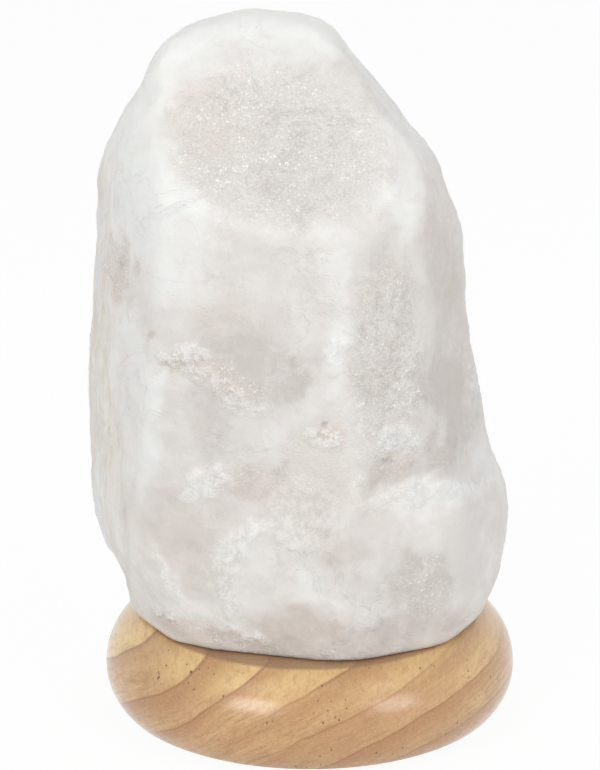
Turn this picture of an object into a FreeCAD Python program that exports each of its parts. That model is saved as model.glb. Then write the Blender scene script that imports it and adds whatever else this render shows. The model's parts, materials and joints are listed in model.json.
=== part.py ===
import FreeCAD, Part
import math
import os
import re
import Sketcher

# Salt crystal lamp: a hewn crystal of rock salt on a turned wooden base, lit from inside by a small
# screw-in bulb. The bulb's holder is pushed up through the base and held there by two spring clips.
# Millimetres. +Z is up, the front faces -Y, and the origin is on the table, under the base's centre.

sizes = {
    # turned wooden base: a bun with its widest plane below the middle and a flat top
    "base_radius": 65,
    "base_height": 29.3,
    "base_widest_height": 10.7,
    "base_seat_inset": 14.2,
    "base_heel_inset": 4,
    "base_bore_radius": 19,
    "recess_wall": 11,
    "recess_depth": 8,
    "cord_channel_width": 9,
    "cord_channel_run_in": 5,
    # rubber feet
    "foot_count": 4,
    "foot_radius": 6,
    "foot_height": 4,
    "foot_inset": 10,
    # screws that hold the crystal, each in a plastic plug
    "screw_circle": 38,
    "screw_radius": 2,
    "screw_length": 45,
    "screw_head_radius": 4,
    "screw_head_height": 2.4,
    "screw_head_sink": 0.3,
    "screw_tip": 3,
    "screw_clearance": 0.2,
    "plug_radius": 4.2,
    "plug_length": 26,
    "plug_clearance": 0.1,
    "plug_hole_spare": 1,
    # the hole drilled up into the crystal for the bulb
    "cavity_radius": 21,
    "cavity_depth": 98,
    "cavity_tip": 6,
    # bulb holder: a moulded body in a screwed cap
    "holder_lift": 3.5,
    "holder_radius": 13.5,
    "holder_height": 37.5,
    "holder_rim_chamfer": 1,
    "holder_chamber_radius": 11,
    "holder_fit": 0.2,
    "cap_wall": 1.8,
    "cap_height": 13,
    "cap_floor": 2,
    "cap_shoulder": 7,
    "cap_chamfer": 1,
    "cord_inlet_radius": 3.6,
    "block_height": 8,
    "block_clearance": 0.2,
    "shell_wall": 0.35,
    "shell_length": 21.5,
    "shell_rim_sink": 2,
    "shell_play": 0.35,
    "shell_outer_play": 0.2,
    "contact_width": 4,
    "contact_half_span": 5.2,
    "contact_rise": 3.2,
    "contact_thickness": 0.4,
    "contact_foot": 1.2,
    "contact_gap": 0.3,
    "terminal_circle": 7,
    "terminal_radius": 1.5,
    "terminal_head_radius": 2.6,
    "terminal_head_height": 1.8,
    "terminal_length": 6,
    "terminal_hole_spare": 0.5,
    "terminal_clearance": 0.1,
    # spring clips on the holder's two sides, which press on the bore of the base
    "clip_width": 8,
    "clip_thickness": 0.6,
    "clip_gap": 0.15,
    "clip_clearance": 0.25,
    "clip_top": 43,
    "clip_bend": 34,
    "clip_crest": 19,
    "clip_crest_round": 3,
    "clip_tail_gap": 0.32,
    "clip_tail": 11,
    "rivet_height": 38.5,
    "rivet_radius": 1.2,
    "rivet_head_radius": 2.2,
    "rivet_head_height": 1,
    "rivet_depth": 2.5,
    "rivet_hole_spare": 2,
    "rivet_clearance": 0.1,
    # bulb: a small incandescent bulb with a 14 mm screw cap
    "tip_radius": 2.6,
    "tip_height": 0.9,
    "tip_face_radius": 1.3,
    "tip_face_rise": 0.54,
    "collar_height": 3,
    "collar_radius": 3.4,
    "screw_cap_radius": 6.9,
    "screw_cap_wall": 0.3,
    "screw_cap_height": 17,
    "screw_cap_heel_inset": 1.6,
    "screw_cap_heel_rise": 2,
    "screw_cap_foot_gap": 0.8,
    "glass_radius": 12.5,
    "glass_wall": 0.6,
    "glass_tuck": 6,
    "glass_gap": 0.1,
    "glass_flare_height": 12,
    "glass_length": 57,
    "stem_radius": 2.2,
    "stem_height": 17,
    "stem_foot_height": 3,
    "stem_foot_gap": 0.1,
    "lead_radius": 0.3,
    "lead_offset": 1.2,
    "lead_spread": 5.6,
    "lead_rise": 11,
    "lead_upright": 2,
    "filament_radius": 0.2,
    "filament_sag": 2.6,
    "filament_gap": 0.1,
    # the crystal's reach from the lamp's axis at rising levels above the seat
    "heel_height": 0, "heel_left": 58, "heel_right": 58.5, "heel_front": 50.5, "heel_back": 49,
    "ankle_height": 13, "ankle_left": 60.5, "ankle_right": 64.5, "ankle_front": 53, "ankle_back": 52,
    "calf_height": 26, "calf_left": 69.5, "calf_right": 66, "calf_front": 53.5, "calf_back": 53.5,
    "knee_height": 38, "knee_left": 71.5, "knee_right": 65, "knee_front": 52.5, "knee_back": 54,
    "thigh_height": 56, "thigh_left": 70.5, "thigh_right": 57, "thigh_front": 51, "thigh_back": 54,
    "hip_height": 74, "hip_left": 70.5, "hip_right": 54.5, "hip_front": 51, "hip_back": 53.5,
    "waist_height": 94, "waist_left": 69, "waist_right": 49.5, "waist_front": 50.5, "waist_back": 53,
    "rib_height": 118, "rib_left": 67, "rib_right": 48, "rib_front": 50, "rib_back": 50,
    "chest_height": 146, "chest_left": 66, "chest_right": 46, "chest_front": 47, "chest_back": 46,
    "crown_height": 200, "crown_left": 61, "crown_right": 42, "crown_front": 42, "crown_back": 40,
    # rounding of the crystal's upright ridges
    "left_front_ridge": 5, "front_ridge": 6, "right_front_ridge": 5, "right_ridge": 8,
    "right_back_ridge": 12, "back_ridge": 14, "left_back_ridge": 12, "left_rear_ridge": 6, "left_ridge": 6,
    # a point on each face struck off with a chisel: reach from the axis and height above the seat
    "oval_face_reach": 47.5, "oval_face_height": 134,
    "left_shoulder_reach": 60, "left_shoulder_height": 150.5,
    "left_upper_reach": 51.3, "left_upper_height": 170,
    "right_shoulder_reach": 47, "right_shoulder_height": 124,
    "right_upper_reach": 20.8, "right_upper_height": 165.4,
    "summit_left_reach": 20, "summit_left_height": 188.5,
    "summit_right_reach": -20, "summit_right_height": 188.5,
    "front_left_reach": 58.5, "front_left_height": 141,
    "front_right_reach": 49, "front_right_height": 136,
    "back_face_reach": 45, "back_face_height": 138,
    "back_left_reach": 62, "back_left_height": 140,
    "back_right_reach": 51, "back_right_height": 128,
    "left_edge_reach": 60.6, "left_edge_height": 78,
    "lower_left_reach": 51.5, "lower_left_height": 6,
    # shells struck out of those faces: the point on the face under each one's middle, how far that
    # is to the side, the radius of its rim and its depth
    "oval_hollow_reach": 29.8, "oval_hollow_height": 154.4, "oval_hollow_side": -6,
    "oval_hollow_radius": 31, "oval_hollow_depth": 3.6,
    "upper_flute_reach": 45.5, "upper_flute_height": 116, "upper_flute_side": -7,
    "upper_flute_radius": 17, "upper_flute_depth": 1.7,
    "lower_flute_reach": 47.6, "lower_flute_height": 86, "lower_flute_side": -6,
    "lower_flute_radius": 15, "lower_flute_depth": 1.5,
    "notch_reach": 60.2, "notch_height": 149, "notch_side": -2,
    "notch_radius": 11, "notch_depth": 1.5,
    "foot_shell_reach": 48, "foot_shell_height": 11, "foot_shell_side": 9,
    "foot_shell_radius": 12, "foot_shell_depth": 1.4,
    "left_dent_reach": 50.6, "left_dent_height": 25, "left_dent_side": -19,
    "left_dent_radius": 17, "left_dent_depth": 1.4,
    "bulge_dent_reach": 48, "bulge_dent_height": 57, "bulge_dent_side": -5,
    "bulge_dent_radius": 16, "bulge_dent_depth": 0.8,
    "right_pit_reach": 50.3, "right_pit_height": 64, "right_pit_side": 1,
    "right_pit_radius": 14, "right_pit_depth": 1,
    "left_pit_reach": 58.4, "left_pit_height": 117, "left_pit_side": -10,
    "left_pit_radius": 10, "left_pit_depth": 0.8,
}

# The crystal's levels, with how far each one's plan is rounded from the hewn corners to an oval.
oval_ratios = {
    "heel": 1, "ankle": 0.8, "calf": 0.6, "knee": 0.45, "thigh": 0.3, "hip": 0.15, "waist": 0, "rib": 0,
    "chest": 0, "crown": 0,
}
ridge_growth_ratio = 4
ridge_room_ratio = 0.45
# The hewn corners on every level, as shares of its reach to the side and to the front or back.
corner_ratios = {
    "left_front": (-0.73, -0.76),
    "front": (0.19, -1.02),
    "right_front": (0.72, -0.70),
    "right": (1.0, -0.06),
    "right_back": (0.80, 0.74),
    "back": (0.04, 1.02),
    "left_back": (-0.70, 0.84),
    "left_rear": (-1.01, 0.26),
    "left": (-0.93, -0.12),
}
# The way that each chiselled face and each struck shell looks: its turn (0 is the front and 90 the
# right) and its slope from the level, in degrees.
chisel_angles = {
    "oval_face": (-4, 49),
    "left_shoulder": (-86, 64),
    "left_upper": (-98, 60),
    "right_shoulder": (86, 63),
    "right_upper": (90, 52),
    "summit_left": (-95, 12),
    "summit_right": (80, 7),
    "front_left": (-50, 62),
    "front_right": (44, 57),
    "back_face": (178, 64),
    "back_left": (-138, 60),
    "back_right": (138, 60),
    "left_edge": (-61, 87),
    "lower_left": (-28, 118),
}
shell_angles = {
    "oval_hollow": (-4, 49),
    "upper_flute": (67, 87),
    "lower_flute": (66, 82),
    "notch": (-80, 74),
    "foot_shell": (-14, 98),
    "left_dent": (-27, 92),
    "bulge_dent": (-12, 91),
    "right_pit": (28, 90),
    "left_pit": (-61, 87),
}

doc = FreeCAD.newDocument("salt_crystal_lamp")
sheet = doc.addObject("Spreadsheet::Sheet", "sizes")
pieces = []


def fill_sheet():
    for name, (turn, slope) in (chisel_angles | shell_angles).items():
        sizes[name + "_turn"] = turn
        sizes[name + "_slope"] = slope
    sizes["ridge_growth_ratio"] = ridge_growth_ratio
    for name, ratio in oval_ratios.items():
        sizes[name + "_oval_ratio"] = ratio
    for row, (alias, value) in enumerate(sizes.items(), 1):
        sheet.set(f"A{row}", alias)
        sheet.set(f"B{row}", str(value))
        sheet.setAlias(f"B{row}", alias)
    doc.recompute()


fill_sheet()
desk = doc.addObject("Spreadsheet::Sheet", "desk")

# heights above the table, and radii, that several pieces share
seat = "(foot_height + base_height)"
widest = "(foot_height + base_widest_height)"
seat_radius = "(base_radius - base_seat_inset)"
heel_radius = "(base_radius - base_heel_inset)"
recess_radius = "(base_bore_radius + recess_wall)"
foot_circle = f"({heel_radius} - foot_inset - foot_radius)"
recess_roof = "(foot_height + recess_depth)"
cap_bottom = "(foot_height + holder_lift)"
cap_radius = "(holder_radius + holder_fit + cap_wall)"
body_bottom = f"({cap_bottom} + cap_shoulder)"
body_top = f"({body_bottom} + holder_height)"
shell_inner = "(screw_cap_radius + shell_play)"
shell_outer = f"({shell_inner} + shell_wall)"
shell_bore = f"({shell_outer} + shell_outer_play)"
block_top = f"({body_top} - shell_rim_sink - shell_length)"
block_radius = "(holder_chamber_radius - block_clearance)"
tip_bottom = f"({block_top} + contact_rise + contact_gap)"
screw_cap_bottom = f"({tip_bottom} + tip_height + screw_cap_foot_gap)"
screw_cap_top = f"({screw_cap_bottom} + screw_cap_height)"
neck_radius = "(screw_cap_radius - screw_cap_wall - glass_gap)"
glass_bottom = f"({screw_cap_top} - glass_tuck)"
glass_top = f"({tip_bottom} + glass_length)"
stem_top = f"({glass_bottom} + stem_height)"
clip_inner = "(holder_radius + clip_gap)"
clip_outer = f"({clip_inner} + clip_thickness)"
crest_reach = "sqrt((base_bore_radius - clip_clearance)^2 - (clip_width / 2)^2)"
rivet_level = f"({cap_bottom} + rivet_height)"

screw_angles = (-90, 30, 150)
first_foot_angle = 45


def bound(formula):
    # the formula with each size written as the sheet's cell
    def cell(word):
        return "sizes." + word[0] if word[0] in sizes else word[0]
    return re.sub(r"[a-z]\w*", cell, formula)


def number(formula):
    desk.set("A1", "=" + bound(formula))
    desk.recompute()
    return float(desk.get("A1"))


def read(alias):
    return float(getattr(sheet, alias))


def bind(item, formulas):
    for name, formula in formulas.items():
        item.setExpression(name, bound(formula))


def piece(item, label):
    item.Label = label
    pieces.append(item)
    return item


def origin_part(body, role):
    return next(item for item in body.Origin.OriginFeatures if item.Role == role)


def arc_between(start, stop, radius, bow):
    # an arc that bows to the left of its way with bow 1 and to the right with bow -1
    along = stop - start
    side = FreeCAD.Vector(-along.y, along.x, 0).normalize()
    reach = math.sqrt(max(radius ** 2 - (along.Length / 2) ** 2, 0))
    centre = (start + stop) / 2 - side * (bow * reach)
    ends = (stop, start) if bow > 0 else (start, stop)
    angles = [math.atan2(end.y - centre.y, end.x - centre.x) for end in ends]
    return Part.ArcOfCircle(Part.Circle(centre, FreeCAD.Vector(0, 0, 1), radius), *angles)


def outline(body, name, spots, role="XZ_Plane"):
    # A closed outline. Each spot is (across, up), or (across, up, radius, bow) where the edge that
    # leaves it is an arc. Every coordinate and radius is bound to the sheet.
    sketch = body.newObject("Sketcher::SketchObject", name)
    sketch.AttachmentSupport = [(origin_part(body, role), "")]
    sketch.MapMode = "FlatFace"
    points = [FreeCAD.Vector(number(spot[0]), number(spot[1]), 0) for spot in spots]
    ends = []
    for index, spot in enumerate(spots):
        start = points[index]
        stop = points[(index + 1) % len(points)]
        if len(spot) == 2:
            ends.append((sketch.addGeometry(Part.LineSegment(start, stop)), 1, 2))
        else:
            arc = arc_between(start, stop, number(spot[2]), spot[3])
            order = (2, 1) if spot[3] > 0 else (1, 2)
            ends.append((sketch.addGeometry(arc), *order))
    for index, (edge, first, last) in enumerate(ends):
        following = ends[(index + 1) % len(ends)]
        sketch.addConstraint(Sketcher.Constraint("Coincident", edge, last, following[0], following[1]))
    for index, (edge, first, last) in enumerate(ends):
        across, up = spots[index][:2]
        for kind, axis, formula in (("DistanceX", -2, across), ("DistanceY", -1, up)):
            if formula == "0":
                sketch.addConstraint(Sketcher.Constraint("PointOnObject", edge, first, axis))
            else:
                mark = sketch.addConstraint(Sketcher.Constraint(kind, -1, 1, edge, first, number(formula)))
                sketch.setExpression(f"Constraints[{mark}]", bound(formula))
        if len(spots[index]) > 2:
            formula = spots[index][2]
            mark = sketch.addConstraint(Sketcher.Constraint("Radius", edge, number(formula)))
            sketch.setExpression(f"Constraints[{mark}]", bound(formula))
    return sketch


def turned(label, spots):
    # a body turned about the lamp's axis from half of its section
    body = doc.addObject("PartDesign::Body", label)
    sketch = outline(body, label + "_section", spots)
    turn = body.newObject("PartDesign::Revolution", label + "_turned")
    turn.Profile = sketch
    turn.ReferenceAxis = (sketch, ["V_Axis"])
    turn.Angle = 360
    return piece(body, label)


def bent_strip(label, spots, width, turn=0):
    # a strip cut along its edge outline, as wide as its sheet metal, turned about the lamp's axis
    body = doc.addObject("PartDesign::Body", label)
    sketch = outline(body, label + "_edge", spots)
    pad = body.newObject("PartDesign::Pad", label + "_strip")
    pad.Profile = sketch
    pad.SideType = "Symmetric"
    bind(pad, {"Length": width})
    body.Placement = FreeCAD.Placement(FreeCAD.Vector(), FreeCAD.Rotation(FreeCAD.Vector(0, 0, 1), turn))
    return piece(body, label)


def cut_primitive(body, kind, name, formulas, role="XY_Plane"):
    # a primitive taken out of a body, placed from one of its origin planes
    tool = body.newObject("PartDesign::Subtractive" + kind, name)
    tool.AttachmentSupport = [(origin_part(body, role), "")]
    tool.MapMode = "FlatFace"
    bind(tool, formulas)
    return tool


def around(body, name, originals, count):
    ring = body.newObject("PartDesign::PolarPattern", name)
    ring.Originals = originals
    ring.Axis = (origin_part(body, "Z_Axis"), [""])
    ring.Angle = 360
    bind(ring, {"Occurrences": count})
    body.Tip = ring
    return ring


def solid(kind, name, formulas):
    item = doc.addObject("Part::" + kind, name)
    bind(item, formulas)
    return item


def joined(name, items):
    fuse = doc.addObject("Part::MultiFuse", name)
    fuse.Shapes = items
    return fuse


def grouped(label, items):
    group = doc.addObject("Part::Compound", label)
    group.Links = items
    return piece(group, label)


def on_circle(circle, angle, height):
    return {
        "Placement.Base.x": f"{circle} * cos({angle})",
        "Placement.Base.y": f"{circle} * sin({angle})",
        "Placement.Base.z": height,
    }


def arc_drop(out, up):
    # radius of an arc that stands upright where it is widest and passes a spot so far in and up
    return f"(({out})^2 + ({up})^2) / (2 * ({out}))"


def arc_over(half_span, rise):
    # radius of a low arch
    return f"({half_span}^2 + {rise}^2) / (2 * {rise})"


def wood_base():
    body = turned("wood_base", [
        ("base_bore_radius", recess_roof),
        ("base_bore_radius", seat),
        (seat_radius, seat, arc_drop("base_seat_inset", "base_height - base_widest_height"), 1),
        ("base_radius", widest, arc_drop("base_heel_inset", "base_widest_height"), 1),
        (heel_radius, "foot_height"),
        (recess_radius, "foot_height"),
        (recess_radius, recess_roof),
    ])
    cut_primitive(body, "Box", "cord_channel", {
        "Length": "cord_channel_width",
        "Width": "base_radius",
        "Height": "recess_depth",
        "AttachmentOffset.Base.x": "-cord_channel_width / 2",
        "AttachmentOffset.Base.y": f"{recess_radius} - cord_channel_run_in",
        "AttachmentOffset.Base.z": "foot_height",
    })
    hole = cut_primitive(body, "Cylinder", "screw_hole", {
        "Radius": "screw_radius + screw_clearance",
        "Height": "base_height",
        "AttachmentOffset.Base.y": "-screw_circle",
        "AttachmentOffset.Base.z": "foot_height",
    })
    sink = cut_primitive(body, "Cone", "countersink", {
        "Radius1": "screw_head_radius + screw_head_sink + screw_clearance",
        "Radius2": "screw_radius + screw_clearance",
        "Height": "screw_head_height + screw_head_sink",
        "AttachmentOffset.Base.y": "-screw_circle",
        "AttachmentOffset.Base.z": "foot_height",
    })
    around(body, "screw_ring", [hole, sink], str(len(screw_angles)))


def rubber_feet():
    count = round(number("foot_count"))
    for index in range(count):
        name = f"rubber_foot_{index + 1}"
        foot = solid("Cylinder", name, {"Radius": "foot_radius", "Height": "foot_height"})
        bind(foot, on_circle(foot_circle, first_foot_angle + index * 360 / count, "0"))
        piece(foot, name)


def rounded_wire(points, rounds):
    # a closed wire through the points with an arc at each
    edges = []
    count = len(points)
    entries = []
    for index in range(count):
        here = points[index]
        before = (points[index - 1] - here).normalize()
        after = (points[(index + 1) % count] - here).normalize()
        half = before.getAngle(after) / 2
        room = min((points[index - 1] - here).Length, (points[(index + 1) % count] - here).Length)
        cut = min(rounds[index] / math.tan(half), ridge_room_ratio * room)
        middle = (before + after).normalize()
        radius = cut * math.tan(half)
        bulge = here + middle * (radius / math.sin(half) - radius)
        entries.append((here + before * cut, bulge, here + after * cut))
    for index, (start, bulge, stop) in enumerate(entries):
        edges.append(Part.Arc(start, bulge, stop).toShape())
        edges.append(Part.makeLine(stop, entries[(index + 1) % count][0]))
    return Part.Wire(edges)


def outward(turn):
    angle = math.radians(turn)
    return FreeCAD.Vector(math.sin(angle), -math.cos(angle), 0)


def struck(name):
    # a spot on a chiselled face and the way that face looks
    away = outward(read(name + "_turn"))
    slope = math.radians(read(name + "_slope"))
    spot = away * read(name + "_reach") + FreeCAD.Vector(0, 0, number(seat) + read(name + "_height"))
    return spot, away * math.sin(slope) + FreeCAD.Vector(0, 0, math.cos(slope))


def level_wire(level):
    # one level's plan: hewn corners that near the heel move out to an oval
    points = []
    for across, along in corner_ratios.values():
        oval = 1 + read(level + "_oval_ratio") * (1 / math.hypot(across, along) - 1)
        x = across * oval * read(level + ("_right" if across > 0 else "_left"))
        y = along * oval * read(level + ("_back" if along > 0 else "_front"))
        points.append(FreeCAD.Vector(x, y, number(seat) + read(level + "_height")))
    growth = 1 + read("ridge_growth_ratio") * read(level + "_oval_ratio")
    return rounded_wire(points, [read(name + "_ridge") * growth for name in corner_ratios])


def crystal_block():
    # the rough block lofted through its levels, its faces struck flat and shells struck out of them
    ruled = True
    block = Part.makeLoft([level_wire(level) for level in oval_ratios], True, ruled)
    slab = 2 * read("crown_height")
    for name in chisel_angles:
        spot, facing = struck(name)
        waste = Part.makeBox(slab, slab, slab, FreeCAD.Vector(-slab / 2, -slab / 2, 0))
        waste.Placement = FreeCAD.Placement(spot, FreeCAD.Rotation(FreeCAD.Vector(0, 0, 1), facing))
        block = block.cut(waste)
    for name in shell_angles:
        spot, facing = struck(name)
        sideways = FreeCAD.Vector(0, 0, 1).cross(facing).normalize()
        depth = read(name + "_depth")
        radius = (read(name + "_radius") ** 2 + depth ** 2) / (2 * depth)
        middle = spot + sideways * read(name + "_side") + facing * (radius - depth)
        block = block.cut(Part.makeSphere(radius, middle))
    return block


def salt_crystal():
    block = doc.addObject("Part::Feature", "crystal_block")
    block.Shape = crystal_block()
    shaft = solid("Cylinder", "cavity_shaft", {
        "Radius": "cavity_radius",
        "Height": "cavity_depth - cavity_tip",
        "Placement.Base.z": seat,
    })
    tip = solid("Cone", "cavity_tip_cone", {
        "Radius1": "cavity_radius",
        "Radius2": "cavity_radius - cavity_tip",
        "Height": "cavity_tip",
        "Placement.Base.z": f"{seat} + cavity_depth - cavity_tip",
    })
    holes = [shaft, tip]
    for index, angle in enumerate(screw_angles, 1):
        hole = solid("Cylinder", f"plug_hole_{index}", {
            "Radius": "plug_radius + plug_clearance",
            "Height": "plug_length + plug_hole_spare",
        })
        bind(hole, on_circle("screw_circle", angle, seat))
        holes.append(hole)
    cut = doc.addObject("Part::Cut", "crystal_cut")
    cut.Base = block
    cut.Tool = joined("crystal_holes", holes)
    piece(cut, "salt_crystal")


def crystal_fixings():
    screws = []
    plugs = []
    head_level = "foot_height + screw_head_sink"
    for index, angle in enumerate(screw_angles, 1):
        head = solid("Cone", f"screw_head_{index}", {
            "Radius1": "screw_head_radius",
            "Radius2": "screw_radius",
            "Height": "screw_head_height",
        })
        shank = solid("Cylinder", f"screw_shank_{index}", {
            "Radius": "screw_radius",
            "Height": "screw_length - screw_tip",
        })
        tip = solid("Cone", f"screw_tip_{index}", {
            "Radius1": "screw_radius",
            "Radius2": "0",
            "Height": "screw_tip",
        })
        bind(head, on_circle("screw_circle", angle, head_level))
        bind(shank, on_circle("screw_circle", angle, head_level))
        bind(tip, on_circle("screw_circle", angle, head_level + " + screw_length - screw_tip"))
        screws.append(joined(f"screw_{index}", [head, shank, tip]))
        sleeve = solid("Cylinder", f"plug_sleeve_{index}", {
            "Radius": "plug_radius",
            "Height": "plug_length",
        })
        hole = solid("Cylinder", f"plug_bore_{index}", {
            "Radius": "screw_radius + plug_clearance",
            "Height": "plug_length",
        })
        for item in (sleeve, hole):
            bind(item, on_circle("screw_circle", angle, seat))
        plug = doc.addObject("Part::Cut", f"plug_{index}")
        plug.Base = sleeve
        plug.Tool = hole
        plugs.append(plug)
    grouped("base_screws", screws)
    grouped("screw_plugs", plugs)


def bulb_holder():
    turned("holder_cap", [
        ("cord_inlet_radius", cap_bottom),
        (f"{cap_radius} - cap_chamfer", cap_bottom),
        (cap_radius, f"{cap_bottom} + cap_chamfer"),
        (cap_radius, f"{cap_bottom} + cap_height"),
        ("holder_radius + holder_fit", f"{cap_bottom} + cap_height"),
        ("holder_radius + holder_fit", body_bottom),
        ("holder_chamber_radius", body_bottom),
        ("holder_chamber_radius", f"{cap_bottom} + cap_floor"),
        ("cord_inlet_radius", f"{cap_bottom} + cap_floor"),
    ])
    body = turned("holder_body", [
        ("holder_chamber_radius", body_bottom),
        ("holder_radius", body_bottom),
        ("holder_radius", f"{body_top} - holder_rim_chamfer"),
        ("holder_radius - holder_rim_chamfer", body_top),
        (shell_bore, body_top),
        (shell_bore, block_top),
        ("holder_chamber_radius", block_top),
    ])
    hole = cut_primitive(body, "Cylinder", "rivet_hole", {
        "Radius": "rivet_radius + rivet_clearance",
        "Height": "rivet_depth + rivet_hole_spare",
        "AttachmentOffset.Base.y": rivet_level,
        "AttachmentOffset.Base.z": "holder_radius - rivet_depth",
    }, "YZ_Plane")
    around(body, "rivet_holes", [hole], "2")
    turned("screw_shell", [
        (shell_inner, block_top),
        (shell_outer, block_top),
        (shell_outer, f"{block_top} + shell_length"),
        (shell_inner, f"{block_top} + shell_length"),
    ])
    block = turned("terminal_block", [
        ("0", f"{block_top} - block_height"),
        (block_radius, f"{block_top} - block_height"),
        (block_radius, block_top),
        ("0", block_top),
    ])
    hole = cut_primitive(block, "Cylinder", "terminal_hole", {
        "Radius": "terminal_radius + terminal_clearance",
        "Height": "terminal_length + terminal_hole_spare",
        "AttachmentOffset.Base.x": "terminal_circle",
        "AttachmentOffset.Base.z": f"{block_top} - block_height",
    })
    around(block, "terminal_holes", [hole], "2")
    screws = []
    for index, angle in enumerate((0, 180), 1):
        shank = solid("Cylinder", f"terminal_shank_{index}", {
            "Radius": "terminal_radius",
            "Height": "terminal_length",
        })
        head = solid("Cylinder", f"terminal_head_{index}", {
            "Radius": "terminal_head_radius",
            "Height": "terminal_head_height",
        })
        bind(shank, on_circle("terminal_circle", angle, f"{block_top} - block_height"))
        bind(head, on_circle("terminal_circle", angle, f"{block_top} - block_height - terminal_head_height"))
        screws.append(joined(f"terminal_screw_{index}", [shank, head]))
    grouped("terminal_screws", screws)
    span = "contact_half_span"
    rise = "contact_rise"
    inner_span = "(contact_half_span - contact_foot)"
    inner_rise = "(contact_rise - contact_thickness)"
    bent_strip("centre_contact", [
        (f"-{span}", block_top, arc_over(span, rise), 1),
        (span, block_top),
        (inner_span, block_top, arc_over(inner_span, inner_rise), -1),
        (f"-{inner_span}", block_top),
    ], "contact_width")


def spring_clips():
    low = cap_bottom
    spots = [
        (clip_inner, f"{low} + clip_top"),
        (clip_inner, f"{low} + clip_bend"),
        (f"{crest_reach} - clip_thickness", f"{low} + clip_crest"),
        (f"{cap_radius} + clip_tail_gap", f"{low} + clip_tail"),
        (f"{cap_radius} + clip_tail_gap + clip_thickness", f"{low} + clip_tail"),
        (crest_reach, f"{low} + clip_crest - clip_crest_round / 2"),
        (crest_reach, f"{low} + clip_crest + clip_crest_round / 2"),
        (clip_outer, f"{low} + clip_bend + clip_thickness / 2"),
        (clip_outer, f"{low} + clip_top"),
    ]
    rivets = []
    for side, turn in (("right", 0), ("left", 180)):
        clip = bent_strip("clip_" + side, spots, "clip_width", turn)
        cut_primitive(clip, "Cylinder", f"clip_{side}_hole", {
            "Radius": "rivet_radius + rivet_clearance",
            "Height": "clip_thickness + rivet_hole_spare",
            "AttachmentOffset.Base.y": rivet_level,
            "AttachmentOffset.Base.z": f"{clip_inner} - rivet_hole_spare / 2",
        }, "YZ_Plane")
        toward = 1 if side == "right" else -1
        shank = solid("Cylinder", f"rivet_shank_{side}", {
            "Radius": "rivet_radius",
            "Height": f"{clip_outer} - holder_radius + rivet_depth",
        })
        head = solid("Cylinder", f"rivet_head_{side}", {
            "Radius": "rivet_head_radius",
            "Height": "rivet_head_height",
        })
        for item, start in ((shank, "(holder_radius - rivet_depth)"), (head, clip_outer)):
            item.Placement = FreeCAD.Placement(
                FreeCAD.Vector(), FreeCAD.Rotation(FreeCAD.Vector(0, 0, 1), FreeCAD.Vector(toward, 0, 0)))
            bind(item, {"Placement.Base.x": f"{toward} * {start}", "Placement.Base.z": rivet_level})
        rivets.append(joined(f"rivet_{side}", [shank, head]))
    grouped("clip_rivets", rivets)


def rod(points, radius):
    # a wire bent at each inner point
    runs = [Part.makeCylinder(radius, (b - a).Length, a, b - a) for a, b in zip(points, points[1:])]
    bends = [Part.makeSphere(radius, point) for point in points[1:-1]]
    shape = runs[0]
    for item in runs[1:] + bends:
        shape = shape.fuse(item)
    return shape.removeSplitter()


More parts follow.
